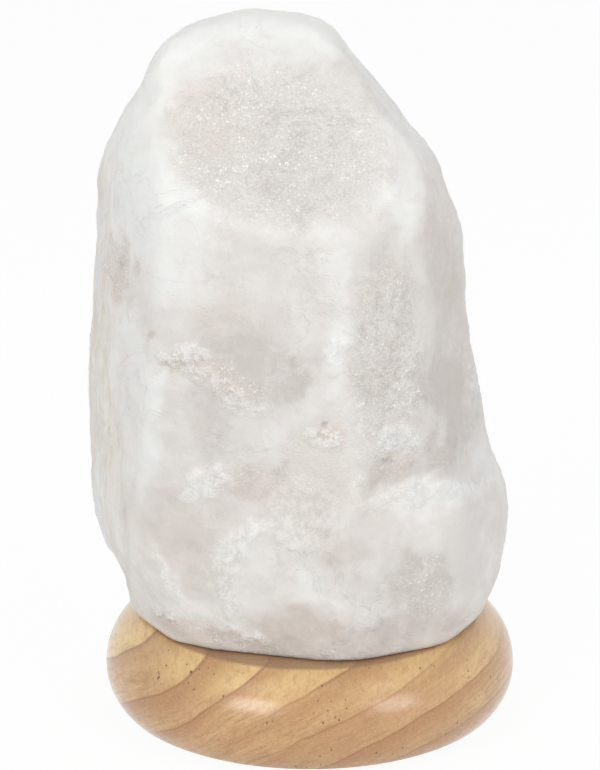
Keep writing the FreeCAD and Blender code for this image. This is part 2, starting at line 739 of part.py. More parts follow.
def bulb():
    turned("bulb_tip", [
        ("0", tip_bottom),
        ("tip_face_radius", tip_bottom),
        ("tip_radius", f"{tip_bottom} + tip_face_rise"),
        ("tip_radius", f"{tip_bottom} + tip_height"),
        ("0", f"{tip_bottom} + tip_height"),
    ])
    turned("bulb_insulator", [
        ("0", f"{tip_bottom} + tip_height"),
        ("collar_radius", f"{tip_bottom} + tip_height"),
        (neck_radius, f"{tip_bottom} + tip_height + collar_height"),
        ("0", f"{tip_bottom} + tip_height + collar_height"),
    ])
    cap_inner = "(screw_cap_radius - screw_cap_wall)"
    cap_heel = "(screw_cap_radius - screw_cap_heel_inset)"
    heel_top = f"({screw_cap_bottom} + screw_cap_heel_rise)"
    turned("bulb_screw_cap", [
        (cap_heel, screw_cap_bottom),
        ("screw_cap_radius", heel_top),
        ("screw_cap_radius", screw_cap_top),
        (cap_inner, screw_cap_top),
        (cap_inner, f"{heel_top} + screw_cap_wall / 2"),
        (f"{cap_heel} - screw_cap_wall / 2", f"{screw_cap_bottom} + screw_cap_wall"),
    ])
    shoulder = f"({glass_top} - glass_radius)"
    swell = f"(glass_radius - {neck_radius})"
    middle = f"({neck_radius} + {swell} / 2)"
    swell_round = f"(({swell} / 2)^2 + (glass_flare_height / 2)^2) / {swell}"
    turned("bulb_glass", [
        (neck_radius, glass_bottom),
        (neck_radius, screw_cap_top, swell_round, 1),
        (middle, f"{screw_cap_top} + glass_flare_height / 2", swell_round, -1),
        ("glass_radius", f"{screw_cap_top} + glass_flare_height"),
        ("glass_radius", shoulder, "glass_radius", -1),
        ("0", glass_top),
        ("0", f"{glass_top} - glass_wall", "glass_radius - glass_wall", 1),
        ("glass_radius - glass_wall", shoulder),
        ("glass_radius - glass_wall", f"{screw_cap_top} + glass_flare_height", swell_round, 1),
        (f"{middle} - glass_wall", f"{screw_cap_top} + glass_flare_height / 2", swell_round, -1),
        (f"{neck_radius} - glass_wall", screw_cap_top),
        (f"{neck_radius} - glass_wall", glass_bottom),
    ])
    turned("bulb_stem", [
        ("0", glass_bottom),
        (f"{neck_radius} - glass_wall - stem_foot_gap", glass_bottom),
        ("stem_radius", f"{glass_bottom} + stem_foot_height"),
        ("stem_radius", stem_top),
        ("0", stem_top),
    ])
    top = number(stem_top)
    offset = read("lead_offset")
    spread = read("lead_spread")
    rise = read("lead_rise")
    upright = read("lead_upright")
    thick = read("lead_radius")
    leads = []
    for side in (-1, 1):
        path = [(offset, top), (offset, top + upright), (spread, top + rise - upright), (spread, top + rise)]
        leads.append(rod([FreeCAD.Vector(side * x, 0, z) for x, z in path], thick))
    wires = doc.addObject("Part::Feature", "bulb_lead_wires")
    wires.Shape = Part.makeCompound(leads)
    piece(wires, "bulb_lead_wires")
    level = top + rise + read("filament_radius") + read("filament_gap")
    sag = read("filament_sag")
    path = [(-spread, 0), (-spread / 2, sag), (0, sag / 2), (spread / 2, sag), (spread, 0)]
    coil = doc.addObject("Part::Feature", "bulb_filament")
    coil.Shape = rod([FreeCAD.Vector(x, 0, level + z) for x, z in path], read("filament_radius"))
    piece(coil, "bulb_filament")


def write_pieces():
    doc.recompute()
    for item in doc.Objects:
        if "Invalid" in item.State or "Error" in item.State:
            raise RuntimeError(f"{item.Label} failed: {item.State}")
    os.makedirs("parts", exist_ok=True)
    for item in pieces:
        shape = item.Shape
        if shape.isNull() or not shape.isValid() or not shape.Solids:
            raise RuntimeError(f"{item.Label} has no valid shape")
        shape.exportStep(f"parts/{item.Label}.step")
        print(item.Label, len(shape.Solids), "solids", round(shape.Volume), "mm3")


wood_base()
rubber_feet()
salt_crystal()
crystal_fixings()
bulb_holder()
spring_clips()
bulb()
write_pieces()
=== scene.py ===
import bpy
import json
import math
import numpy as np
from mathutils import Matrix, Vector, noise


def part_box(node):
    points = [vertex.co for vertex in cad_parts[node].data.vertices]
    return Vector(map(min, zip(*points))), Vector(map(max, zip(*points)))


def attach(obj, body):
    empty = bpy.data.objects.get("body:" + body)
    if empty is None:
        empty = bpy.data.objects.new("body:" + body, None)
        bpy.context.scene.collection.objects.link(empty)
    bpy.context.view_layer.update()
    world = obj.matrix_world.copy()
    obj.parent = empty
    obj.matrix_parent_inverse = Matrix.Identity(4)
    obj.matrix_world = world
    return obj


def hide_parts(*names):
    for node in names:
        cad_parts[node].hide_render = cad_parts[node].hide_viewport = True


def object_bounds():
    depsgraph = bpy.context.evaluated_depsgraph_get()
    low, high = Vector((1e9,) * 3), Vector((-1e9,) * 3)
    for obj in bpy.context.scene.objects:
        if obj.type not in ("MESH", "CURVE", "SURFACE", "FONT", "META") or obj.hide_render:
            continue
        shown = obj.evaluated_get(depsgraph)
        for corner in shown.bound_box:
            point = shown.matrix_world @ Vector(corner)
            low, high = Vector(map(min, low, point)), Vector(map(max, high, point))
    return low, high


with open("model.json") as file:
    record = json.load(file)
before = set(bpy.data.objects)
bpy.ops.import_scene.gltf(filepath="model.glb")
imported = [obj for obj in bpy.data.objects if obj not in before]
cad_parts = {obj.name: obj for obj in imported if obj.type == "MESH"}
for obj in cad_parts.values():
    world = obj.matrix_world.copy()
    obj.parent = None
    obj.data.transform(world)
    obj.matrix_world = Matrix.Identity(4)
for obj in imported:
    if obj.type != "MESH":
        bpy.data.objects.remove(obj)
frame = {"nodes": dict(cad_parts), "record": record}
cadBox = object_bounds()
nodes = frame["nodes"]
mm = 0.001
print("frame loaded:", len(nodes), "nodes")

view = {
    "elevation": 18.0,  # degrees above level
    "distance": 0.9,
    "target": (-0.0031, 0.0, 0.106),
    "focal": 135.44,  # mm on the sensor
    "sensor": 36.0,
    "wide": 600,  # the picture's frame, in pixels
    "high": 770,
}
studio = {
    "ambient": 0.52,
    "floorGlow": 0.95,  # share of plain white that the camera sees in the floor
    "lamps": {
        # place, width, watts, colour
        "keyBox": ((-0.78, -1.13, 0.90), 0.62, 8.1, (1.0, 0.99, 0.975)),
        "fillBox": ((1.0, -0.85, 0.68), 0.55, 4.9, (1.0, 0.98, 0.975)),
        "leftTop": ((-0.62, -0.38, 1.30), 0.42, 0.9, (1.0, 0.99, 0.98)),
        "rightTop": ((0.70, -0.37, 1.25), 0.42, 0.9, (1.0, 0.985, 0.98)),
        "topBox": ((0.0, 0.40, 1.30), 0.6, 0.9, (1.0, 1.0, 1.0)),
    },
}


def deselectAll():
    for item in bpy.context.selected_objects:
        item.select_set(False)


def makeActive(item):
    deselectAll()
    item.select_set(True)
    bpy.context.view_layer.objects.active = item


def makeCamera():
    slope = math.radians(view["elevation"])
    back = Vector((0, -math.cos(slope), math.sin(slope)))
    lens = bpy.data.cameras.new("photoCamera")
    lens.lens = view["focal"]
    lens.sensor_width = view["sensor"]
    camera = bpy.data.objects.new("photoCamera", lens)
    bpy.context.scene.collection.objects.link(camera)
    camera.location = Vector(view["target"]) + back * view["distance"]
    camera.rotation_mode = "QUATERNION"
    camera.rotation_quaternion = (-back).to_track_quat("-Z", "Y")
    bpy.context.scene.camera = camera


def seenDirectly(tree):
    # 1 for what the camera sees by itself, in a mirror or through glass
    path = tree.nodes.new("ShaderNodeLightPath")
    result = path.outputs["Is Camera Ray"]
    for name in ("Is Glossy Ray", "Is Transmission Ray"):
        either = tree.nodes.new("ShaderNodeMath")
        either.operation = "MAXIMUM"
        tree.links.new(result, either.inputs[0])
        tree.links.new(path.outputs[name], either.inputs[1])
        result = either.outputs[0]
    return result


def makeStudio():
    scene = bpy.context.scene
    scene.view_settings.view_transform = "Standard"
    world = bpy.data.worlds.new("paleStudio")
    scene.world = world
    world.use_nodes = True
    tree = world.node_tree
    tree.nodes.clear()
    backdrop = tree.nodes.new("ShaderNodeBackground")
    backdrop.inputs["Color"].default_value = (1, 1, 1, 1)
    ambient = tree.nodes.new("ShaderNodeBackground")
    ambient.inputs["Color"].default_value = (0.98, 0.985, 1.0, 1)
    ambient.inputs["Strength"].default_value = studio["ambient"]
    mix = tree.nodes.new("ShaderNodeMixShader")
    tree.links.new(seenDirectly(tree), mix.inputs[0])
    tree.links.new(ambient.outputs[0], mix.inputs[1])
    tree.links.new(backdrop.outputs[0], mix.inputs[2])
    out = tree.nodes.new("ShaderNodeOutputWorld")
    tree.links.new(mix.outputs[0], out.inputs["Surface"])
    for name, (place, width, watts, colour) in studio["lamps"].items():
        data = bpy.data.lights.new(name, "AREA")
        data.shape = "SQUARE"
        data.size = width
        data.energy = watts
        data.color = colour
        box = bpy.data.objects.new(name, data)
        scene.collection.objects.link(box)
        box.location = place
        aim = Vector((0, 0, 0.1)) - Vector(place)
        box.rotation_mode = "QUATERNION"
        box.rotation_quaternion = aim.to_track_quat("-Z", "Y")


def makeFloor():
    deselectAll()
    bpy.ops.mesh.primitive_plane_add(size=8)
    floor = bpy.context.object
    floor.name = "studioFloor"
    finish = bpy.data.materials.new("paleFloor")
    finish.use_nodes = True
    tree = finish.node_tree
    tree.nodes.clear()
    paint = tree.nodes.new("ShaderNodeBsdfDiffuse")
    paint.inputs["Color"].default_value = (0.96, 0.96, 0.96, 1)
    glow = tree.nodes.new("ShaderNodeEmission")
    share = tree.nodes.new("ShaderNodeMath")
    share.operation = "MULTIPLY"
    share.inputs[1].default_value = studio["floorGlow"]
    tree.links.new(seenDirectly(tree), share.inputs[0])
    mix = tree.nodes.new("ShaderNodeMixShader")
    tree.links.new(share.outputs[0], mix.inputs[0])
    tree.links.new(paint.outputs[0], mix.inputs[1])
    tree.links.new(glow.outputs[0], mix.inputs[2])
    out = tree.nodes.new("ShaderNodeOutputMaterial")
    tree.links.new(mix.outputs[0], out.inputs["Surface"])
    floor.data.materials.append(finish)


makeCamera()
makeStudio()
makeFloor()
print("studio ready")


class Recipe:
    # a new node material and short ways to add to it

    def __init__(self, name):
        self.material = bpy.data.materials.new(name)
        self.material.use_nodes = True
        self.tree = self.material.node_tree
        self.shader = self.tree.nodes["Principled BSDF"]
        self.place = self.tree.nodes.new("ShaderNodeTexCoord").outputs["Object"]

    def link(self, source, target):
        self.tree.links.new(source, target)

    def surface(self, **values):
        for name, value in values.items():
            self.shader.inputs[name.replace("_", " ")].default_value = value

    def mapped(self, scale=(1, 1, 1), turn=(0, 0, 0), move=(0, 0, 0), source=None):
        node = self.tree.nodes.new("ShaderNodeMapping")
        node.inputs["Scale"].default_value = scale
        node.inputs["Rotation"].default_value = [math.radians(angle) for angle in turn]
        node.inputs["Location"].default_value = move
        self.link(source or self.place, node.inputs["Vector"])
        return node.outputs[0]

    def clouds(self, scale, detail=3, rough=0.55, source=None, warp=0.0):
        node = self.tree.nodes.new("ShaderNodeTexNoise")
        node.inputs["Scale"].default_value = scale
        node.inputs["Detail"].default_value = detail
        node.inputs["Roughness"].default_value = rough
        node.inputs["Distortion"].default_value = warp
        self.link(source or self.place, node.inputs["Vector"])
        return node.outputs["Fac"]

    def cells(self, scale, source=None):
        node = self.tree.nodes.new("ShaderNodeTexVoronoi")
        node.inputs["Scale"].default_value = scale
        self.link(source or self.place, node.inputs["Vector"])
        return node.outputs["Distance"]

    def crumbs(self, scale, source=None):
        # three random values for each cell
        node = self.tree.nodes.new("ShaderNodeTexVoronoi")
        node.inputs["Scale"].default_value = scale
        self.link(source or self.place, node.inputs["Vector"])
        split = self.tree.nodes.new("ShaderNodeSeparateColor")
        self.link(node.outputs["Color"], split.inputs[0])
        return split.outputs[0], split.outputs[1], split.outputs[2]

    def sums(self, operation, first, second=0.0, clamp=False):
        node = self.tree.nodes.new("ShaderNodeMath")
        node.operation = operation
        node.use_clamp = clamp
        for socket, value in zip(node.inputs, (first, second)):
            if isinstance(value, (int, float)):
                socket.default_value = value
            else:
                self.link(value, socket)
        return node.outputs[0]

    def plus(self, first, *rest):
        for value in rest:
            first = self.sums("ADD", first, value)
        return first

    def times(self, first, *rest):
        for value in rest:
            first = self.sums("MULTIPLY", first, value)
        return first

    def between(self, value, low, high, outLow=0.0, outHigh=1.0):
        node = self.tree.nodes.new("ShaderNodeMapRange")
        node.interpolation_type = "SMOOTHSTEP"
        node.inputs["From Min"].default_value = low
        node.inputs["From Max"].default_value = high
        node.inputs["To Min"].default_value = outLow
        node.inputs["To Max"].default_value = outHigh
        self.link(value, node.inputs["Value"])
        return node.outputs[0]

    def blendOf(self, share, first, second, kind="MIX"):
        node = self.tree.nodes.new("ShaderNodeMix")
        node.data_type = "RGBA"
        node.blend_type = kind
        sockets = [node.inputs[number] for number in (0, 6, 7)]
        for socket, value in zip(sockets, (share, first, second)):
            if isinstance(value, tuple):
                socket.default_value = (*value, 1)
            elif isinstance(value, (int, float)):
                socket.default_value = value
            else:
                self.link(value, socket)
        return node.outputs[2]

    def parted(self, source=None):
        node = self.tree.nodes.new("ShaderNodeSeparateXYZ")
        self.link(source or self.place, node.inputs[0])
        return node.outputs

    def painted(self, name):
        node = self.tree.nodes.new("ShaderNodeAttribute")
        node.attribute_name = name
        return node.outputs["Fac"]

    def bump(self, height, strength, distance, below=None):
        node = self.tree.nodes.new("ShaderNodeBump")
        node.inputs["Strength"].default_value = strength
        node.inputs["Distance"].default_value = distance
        self.link(height, node.inputs["Height"])
        if below:
            self.link(below, node.inputs["Normal"])
        self.link(node.outputs[0], self.shader.inputs["Normal"])
        return node.outputs[0]

    def colour(self, source):
        self.link(source, self.shader.inputs["Base Color"])

    def roughness(self, source):
        self.link(source, self.shader.inputs["Roughness"])


def dress(item, material):
    item.data.materials.clear()
    item.data.materials.append(material)


def applied(item, kind, **values):
    makeActive(item)
    modifier = item.modifiers.new(kind.lower(), kind)
    for name, value in values.items():
        setattr(modifier, name, value)
    bpy.ops.object.modifier_apply(modifier=modifier.name)


def copyNode(node, name):
    piece = nodes[node].copy()
    piece.data = nodes[node].data.copy()
    piece.name = name
    piece.parent = None
    for key in list(piece.keys()):
        del piece[key]
    bpy.context.scene.collection.objects.link(piece)
    makeActive(piece)
    bpy.ops.object.mode_set(mode="EDIT")
    bpy.ops.mesh.select_all(action="SELECT")
    bpy.ops.mesh.remove_doubles(threshold=1e-5)
    bpy.ops.object.mode_set(mode="OBJECT")
    return piece


def readPoints(item, kind="co"):
    found = np.empty(len(item.data.vertices) * 3)
    item.data.vertices.foreach_get(kind, found)
    return found.reshape(-1, 3)


def writePoints(item, points):
    item.data.vertices.foreach_set("co", points.ravel())
    item.data.update()


def paint(item, name, values):
    attribute = item.data.attributes.new(name, "FLOAT", "POINT")
    attribute.data.foreach_set("value", np.clip(values, 0, 1).astype(np.float32))


crystal = {
    "voxel": 1.12,
    "seat": 33.3,
    "cavityRadius": 21.0,
    "cavityTop": 131.3,
    "edgeRounds": 7,
    "wornRounds": 200,  # more smoothing for the worn ridges
    "worn": 0.92,  # how much of it shows
    "waves": 0.7,  # depth of the broad unevenness
    "dents": 0.9,  # depth of the small struck hollows
    "grain": 0.26,  # depth of the coarse crystals
    "ripples": 0.16,  # depth of the upright striations on the left side
    "crust": 0.5,  # height of the white crusts
    "pit": 1.0,
    "cracks": 0.3,  # depth of the long fracture lines
    "crispRidge": (412, 200, 75, 24, 95),  # stays sharper, placed as the marks below are
}
# Marks on the front, placed in the picture's frame: across, down, half length, half width, tilt in
# degrees with the right end up, and then the tone that they bring, from 0 dusky to 1 frosty. The
# duskiest of them, on the right side and along the foot, paint the shade that falls there.
toneAndShadeMarks = [
    (262, 26, 108, 54, 0, 0.97), (388, 110, 62, 22, -52, 0.92), (250, 275, 110, 60, -5, 0.62),
    (228, 326, 70, 26, 4, 0.40), (262, 366, 66, 34, -20, 0.14), (388, 345, 96, 36, 92, 0.20),
    (335, 470, 66, 62, 0, 0.56), (165, 505, 66, 46, -10, 0.42), (440, 548, 74, 66, 0, 0.50),
    (106, 400, 215, 16, 91, 0.84), (137, 405, 84, 22, 92, 0.82), (279, 146, 118, 90, -8, 0.38),
    (350, 150, 40, 60, 20, 0.52), (196, 122, 44, 36, 0, 0.32), (292, 190, 34, 44, 30, 0.36),
    (137, 104, 78, 27, 62, 0.97), (143, 205, 70, 36, 96, 0.97), (405, 196, 62, 18, 97, 0.86),
    (172, 240, 85, 34, 92, 0.84),
    (447, 245, 104, 27, 94, 0.22), (441, 412, 62, 28, 92, 0.02), (392, 470, 26, 18, 0, 0.05),
    (252, 484, 36, 18, 5, 0.22), (198, 576, 34, 13, -62, 0.34), (250, 573, 46, 39, 18, 0.64),
    (303, 634, 46, 22, 0, 0.04), (205, 644, 70, 20, -16, 0.12), (422, 582, 26, 30, 0, 0.12),
    (165, 570, 44, 9, -58, 0.80), (120, 268, 13, 32, 4, 0.40), (343, 305, 64, 6, 95, 0.66),
    (316, 402, 36, 12, 42, 0.76), (205, 482, 27, 14, 14, 0.95), (396, 440, 17, 14, 20, 0.95),
    (337, 350, 10, 15, 0, 0.92), (186, 358, 22, 10, 4, 0.85), (430, 496, 56, 15, 10, 0.88),
    (242, 545, 34, 9, 34, 0.95), (402, 630, 70, 18, 10, 0.16), (96, 480, 120, 6, 90, 0.80),
]
grainMarks = [
    (279, 146, 108, 84, -8, 1.0), (388, 372, 112, 34, 92, 0.9), (222, 384, 62, 20, -28, 0.8),
    (120, 268, 14, 34, 4, 1.0), (222, 640, 64, 16, -16, 0.6), (424, 585, 28, 30, 0, 0.7),
    (330, 470, 60, 46, 0, 0.45), (250, 484, 40, 18, 0, 0.5), (446, 200, 60, 20, 94, 0.25),
]
warmMarks = [
    (205, 122, 60, 44, 0, 0.4), (226, 386, 34, 13, -26, 0.8), (186, 362, 24, 10, 0, 0.8),
    (120, 268, 15, 34, 4, 0.8), (110, 400, 200, 12, 91, 0.55), (190, 540, 60, 60, 0, 0.4),
    (334, 434, 18, 12, 0, 0.9), (230, 646, 80, 14, -14, 0.7), (447, 260, 130, 30, 94, 0.3),
    (388, 330, 70, 30, 92, 0.2), (150, 334, 10, 8, 0, 0.8), (240, 315, 66, 20, 0, 0.35),
    (300, 630, 44, 20, 0, 0.5), (255, 480, 40, 18, 0, 0.5), (108, 165, 12, 30, 0, 0.35),
    (390, 466, 26, 14, 0, 0.6), (330, 500, 70, 60, 0, 0.35),
]
oliveMarks = [(181, 366, 15, 4, 0, 0.8), (150, 334, 9, 6, 0, 0.5), (100, 430, 140, 6, 91, 0.4),
              (325, 427, 8, 6, 0, 0.5), (121, 290, 8, 12, 0, 0.3), (215, 650, 60, 7, -14, 0.45)]
pitMarks = [(324, 425, 3, 3, 0, 0.5), (331, 432, 2.5, 2.5, 0, 0.3), (150, 335, 4, 3, 0, 0.15),
            (121, 262, 3, 5, 0, 0.3), (389, 462, 5, 4, 0, 0.4)]
crustMarks = [
    (205, 482, 25, 13, 14, 0.9), (183, 358, 22, 10, 4, 1.0), (225, 393, 42, 9, -30, 0.7),
    (396, 440, 15, 12, 20, 1.0), (337, 350, 8, 14, 0, 0.7), (330, 436, 22, 12, 0, 0.8),
    (240, 548, 36, 10, 34, 0.8), (228, 585, 14, 26, 0, 0.6), (432, 492, 60, 8, 10, 0.6),
    (262, 650, 40, 8, -28, 0.8), (165, 620, 10, 4, -20, 1.0), (168, 575, 40, 7, -58, 0.5),
    (392, 350, 30, 60, 0, 0.3), (300, 520, 40, 40, 0, 0.3), (470, 372, 8, 14, 0, 0.5),
]
# Curved bright edges: across, down, half length, half width, tilt, the sector's two ends in degrees
# counted from the right end over the top, and the edge's width.
brightRims = [
    (279, 140, 114, 92, -8, 205, 320, 9), (314, 624, 36, 24, 0, 35, 150, 3.5),
    (262, 575, 52, 46, 10, 100, 215, 5), (440, 552, 68, 68, 0, 20, 130, 6),
]
# The line where the striated left side meets the front: across at the top and bottom, down at both.
sideLine = (113, 129, 300, 600)


def seenAt(points):
    # where each point, in mm, shows in the picture's frame
    slope = math.radians(view["elevation"])
    forward = np.array([0, math.cos(slope), -math.sin(slope)])
    upward = np.array([0, math.sin(slope), math.cos(slope)])
    away = points * mm - np.array(view["target"]) + forward * view["distance"]
    focal = view["focal"] / view["sensor"] * view["high"]
    depth = away @ forward
    across = view["wide"] / 2 + focal * away[:, 0] / depth
    down = view["high"] / 2 - focal * (away @ upward) / depth
    return np.stack([across, down], 1)


def ovalReach(seen, mark):
    # distance from a tilted oval's middle as a share of its size, and the bearing in degrees
    across, down, halfLength, halfWidth, tilt = mark[:5]
    turn = math.radians(tilt)
    right = seen[:, 0] - across
    up = down - seen[:, 1]
    u = (right * math.cos(turn) + up * math.sin(turn)) / halfLength
    v = (up * math.cos(turn) - right * math.sin(turn)) / halfWidth
    return np.hypot(u, v), np.degrees(np.arctan2(v, u)) % 360


def markAt(seen, mark, soft):
    return smoothStep(1 + soft - ovalReach(seen, mark)[0], 0, 2 * soft)


def strongest(seen, marks, soft=0.3):
    result = np.zeros(len(seen))
    for mark in marks:
        result = np.maximum(result, mark[5] * markAt(seen, mark, soft))
    return result


def rimsAt(seen):
    result = np.zeros(len(seen))
    for mark in brightRims:
        reach, bearing = ovalReach(seen, mark)
        start, stop, width = mark[5:]
        off = (reach - 1) * min(mark[2:4]) / width
        ends = smoothStep(bearing, start, start + 20) * smoothStep(-bearing, -stop, 20 - stop)
        result = np.maximum(result, np.exp(-off * off) * ends)
    return result


def smoothStep(value, low, high):
    share = np.clip((value - low) / (high - low), 0, 1)
    return share * share * (3 - 2 * share)


def noiseAt(points, size, octaves=3, shift=0.0, stretch=(1, 1, 1)):
    # fractal noise with features of the size given, in mm, from about -1 to 1
    scaled = points / size * np.array(stretch) + shift
    return np.array([noise.fractal(Vector(p), 1.0, 2.0, octaves) for p in scaled])


def dishesAt(points, size, shift=0.0):
    # shallow struck hollows: 0 on the ridges between them and 1 in the middle
    result = []
    for p in points / size + shift:
        distances = noise.voronoi(Vector(p))[0]
        result.append(distances[1] - distances[0])
    return np.clip(np.array(result) * 1.6, 0, 1)


def makeCrystal():
    rock = copyNode("salt_crystal", "hewnCrystal")
    applied(rock, "REMESH", mode="VOXEL", voxel_size=crystal["voxel"] * mm, use_smooth_shade=True)
    print("crystal remeshed:", len(rock.data.vertices), "points")
    sharp = readPoints(rock) / mm
    applied(rock, "SMOOTH", factor=0.5, iterations=crystal["edgeRounds"])
    crisp = readPoints(rock) / mm
    applied(rock, "SMOOTH", factor=0.5, iterations=crystal["wornRounds"])
    worn = readPoints(rock) / mm
    reach = np.hypot(sharp[:, 0], sharp[:, 1])
    away = smoothStep(sharp[:, 2] - crystal["seat"], 6, 22)
    away *= np.maximum(smoothStep(reach, 23, 27), smoothStep(sharp[:, 2], 133, 137))
    away *= 1 - 0.7 * markAt(seenAt(sharp), crystal["crispRidge"], 0.5)
    points = crisp + (worn - crisp) * (crystal["worn"] * away)[:, None]
    writePoints(rock, points * mm)
    normals = readPoints(rock, "normal")
    edge = smoothStep(((sharp - points) * normals).sum(1), 0.1, 0.9)

    inner = (reach < crystal["cavityRadius"] + 1.3) & (points[:, 2] < crystal["cavityTop"] + 1.5)
    plugHole = (normals[:, 2] < 0.5) & (points[:, 2] < 61.5) & ~inner & (np.abs(reach - 38) < 6)
    free = smoothStep(points[:, 2] - crystal["seat"], 1.0, 6.0)
    free[inner | plugHole] = 0

    wander = np.stack([noiseAt(points, 11, 3, shift) for shift in (3.1, 7.7)], 1)
    fray = np.stack([noiseAt(points, 3.5, 3, shift) for shift in (13.1, 17.7)], 1)
    seen = seenAt(points) + 11 * wander + 5 * fray
    slope = math.radians(view["elevation"])
    facing = normals[:, 2] * math.sin(slope) - normals[:, 1] * math.cos(slope)
    shown = smoothStep(facing, 0.0, 0.3) * free
    lineAt = np.interp(seen[:, 1], sideLine[2:], sideLine[:2])
    leftOf = smoothStep(lineAt - seen[:, 0], -2, 6)
    side = smoothStep(-normals[:, 0], 0.35, 0.7) * np.maximum(1 - shown, leftOf)
    litFromAbove = smoothStep(normals[:, 2], 0.1, 0.7)

    striped = noiseAt(points, 4.5, 3, 2.2, (1.3, 1.3, 0.1))
    cloudy = noiseAt(points, 34, 3, 21.0)
    patchy = noiseAt(points, 15, 4, 33.0)
    grain = strongest(seen, grainMarks, 0.25)
    hidden = smoothStep(noiseAt(points, 26, 4, 11.3), 0.05, 0.35)
    grain = np.where(shown > 0, shown * grain + (1 - shown) * hidden, hidden)
    crust = shown * strongest(seen, crustMarks, 0.35)
    crust = np.maximum(crust, (1 - shown) * 0.5 * smoothStep(noiseAt(points, 13, 4, 51.0), 0.3, 0.5))
    pits = shown * strongest(seenAt(points), pitMarks, 0.4)
    rims = shown * rimsAt(seenAt(points) + 4 * wander)

    moved = crystal["waves"] * noiseAt(points, 34, 3, 1.7)
    struck = smoothStep(noiseAt(points, 45, 2, 9.0), -0.4, 0.3)
    moved -= crystal["dents"] * dishesAt(points, 15, 4.2) * struck
    moved += 0.28 * noiseAt(points, 6, 3, 5.5)
    # long fracture lines, full below z 110 and gone above z 150
    crack = 1 - smoothStep(np.abs(noiseAt(points, 22, 4, 71.0)), 0.0, 0.05)
    crack *= smoothStep(noiseAt(points, 30, 2, 83.0), -0.1, 0.3) * smoothStep(-points[:, 2], -150, -110)
    moved -= crystal["cracks"] * crack
    moved -= crystal["grain"] * grain * dishesAt(points, 2.4, 0.4)
    moved += crystal["ripples"] * side * striped
    moved += crystal["crust"] * crust * (0.6 + 0.8 * noiseAt(points, 3, 3, 60.0))
    moved += 0.2 * rims - crystal["pit"] * pits
    points = points + normals * (moved * free)[:, None]
    lowest, highest = (np.array(corner) / mm for corner in cadBox)
    points = np.clip(points, lowest + 0.05, highest - 0.05)
    points[:, 2] = np.maximum(points[:, 2], crystal["seat"])
    writePoints(rock, points * mm)

    # painted light: faces that turn upwards are made lighter, as if lit from above
    tone = 0.55 + 0.34 * cloudy + 0.16 * patchy + 0.25 * litFromAbove
    for mark in toneAndShadeMarks:
        over = 0.85 * shown * markAt(seen, mark, 0.42)
        tone = tone + over * (mark[5] - tone)
    # painted shade: a dark line along the crease where the striated left side meets the front
    creaseShade = shown * np.exp(-((seenAt(points)[:, 0] - lineAt) / 3) ** 2)
    creaseShade *= smoothStep(seen[:, 1], 380, 450)
    tone = tone + 0.05 * patchy + 0.1 * edge * (1 - grain) + 0.10 * rims - 0.3 * creaseShade - 0.16 * crack
    paint(rock, "tone", tone)
    paint(rock, "grain", grain)
    paint(rock, "crust", crust)
    warm = shown * strongest(seen, warmMarks, 0.5)
    warm = np.maximum(warm, side * smoothStep(striped, -0.1, 0.4) * 0.8)
    warm = np.maximum(warm, (1 - shown) * 0.7 * smoothStep(noiseAt(points, 17, 3, 40.0), 0.1, 0.45))
    paint(rock, "warm", warm)
    stained = shown * strongest(seen, oliveMarks, 0.5)
    paint(rock, "olive", np.maximum(stained, side * smoothStep(striped, 0.3, 0.6) * 0.6))
    paint(rock, "pit", pits)
    paint(rock, "side", side)
    dress(rock, saltFinish())
    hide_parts("salt_crystal")
    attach(rock, "lamp")
    print("crystal done")


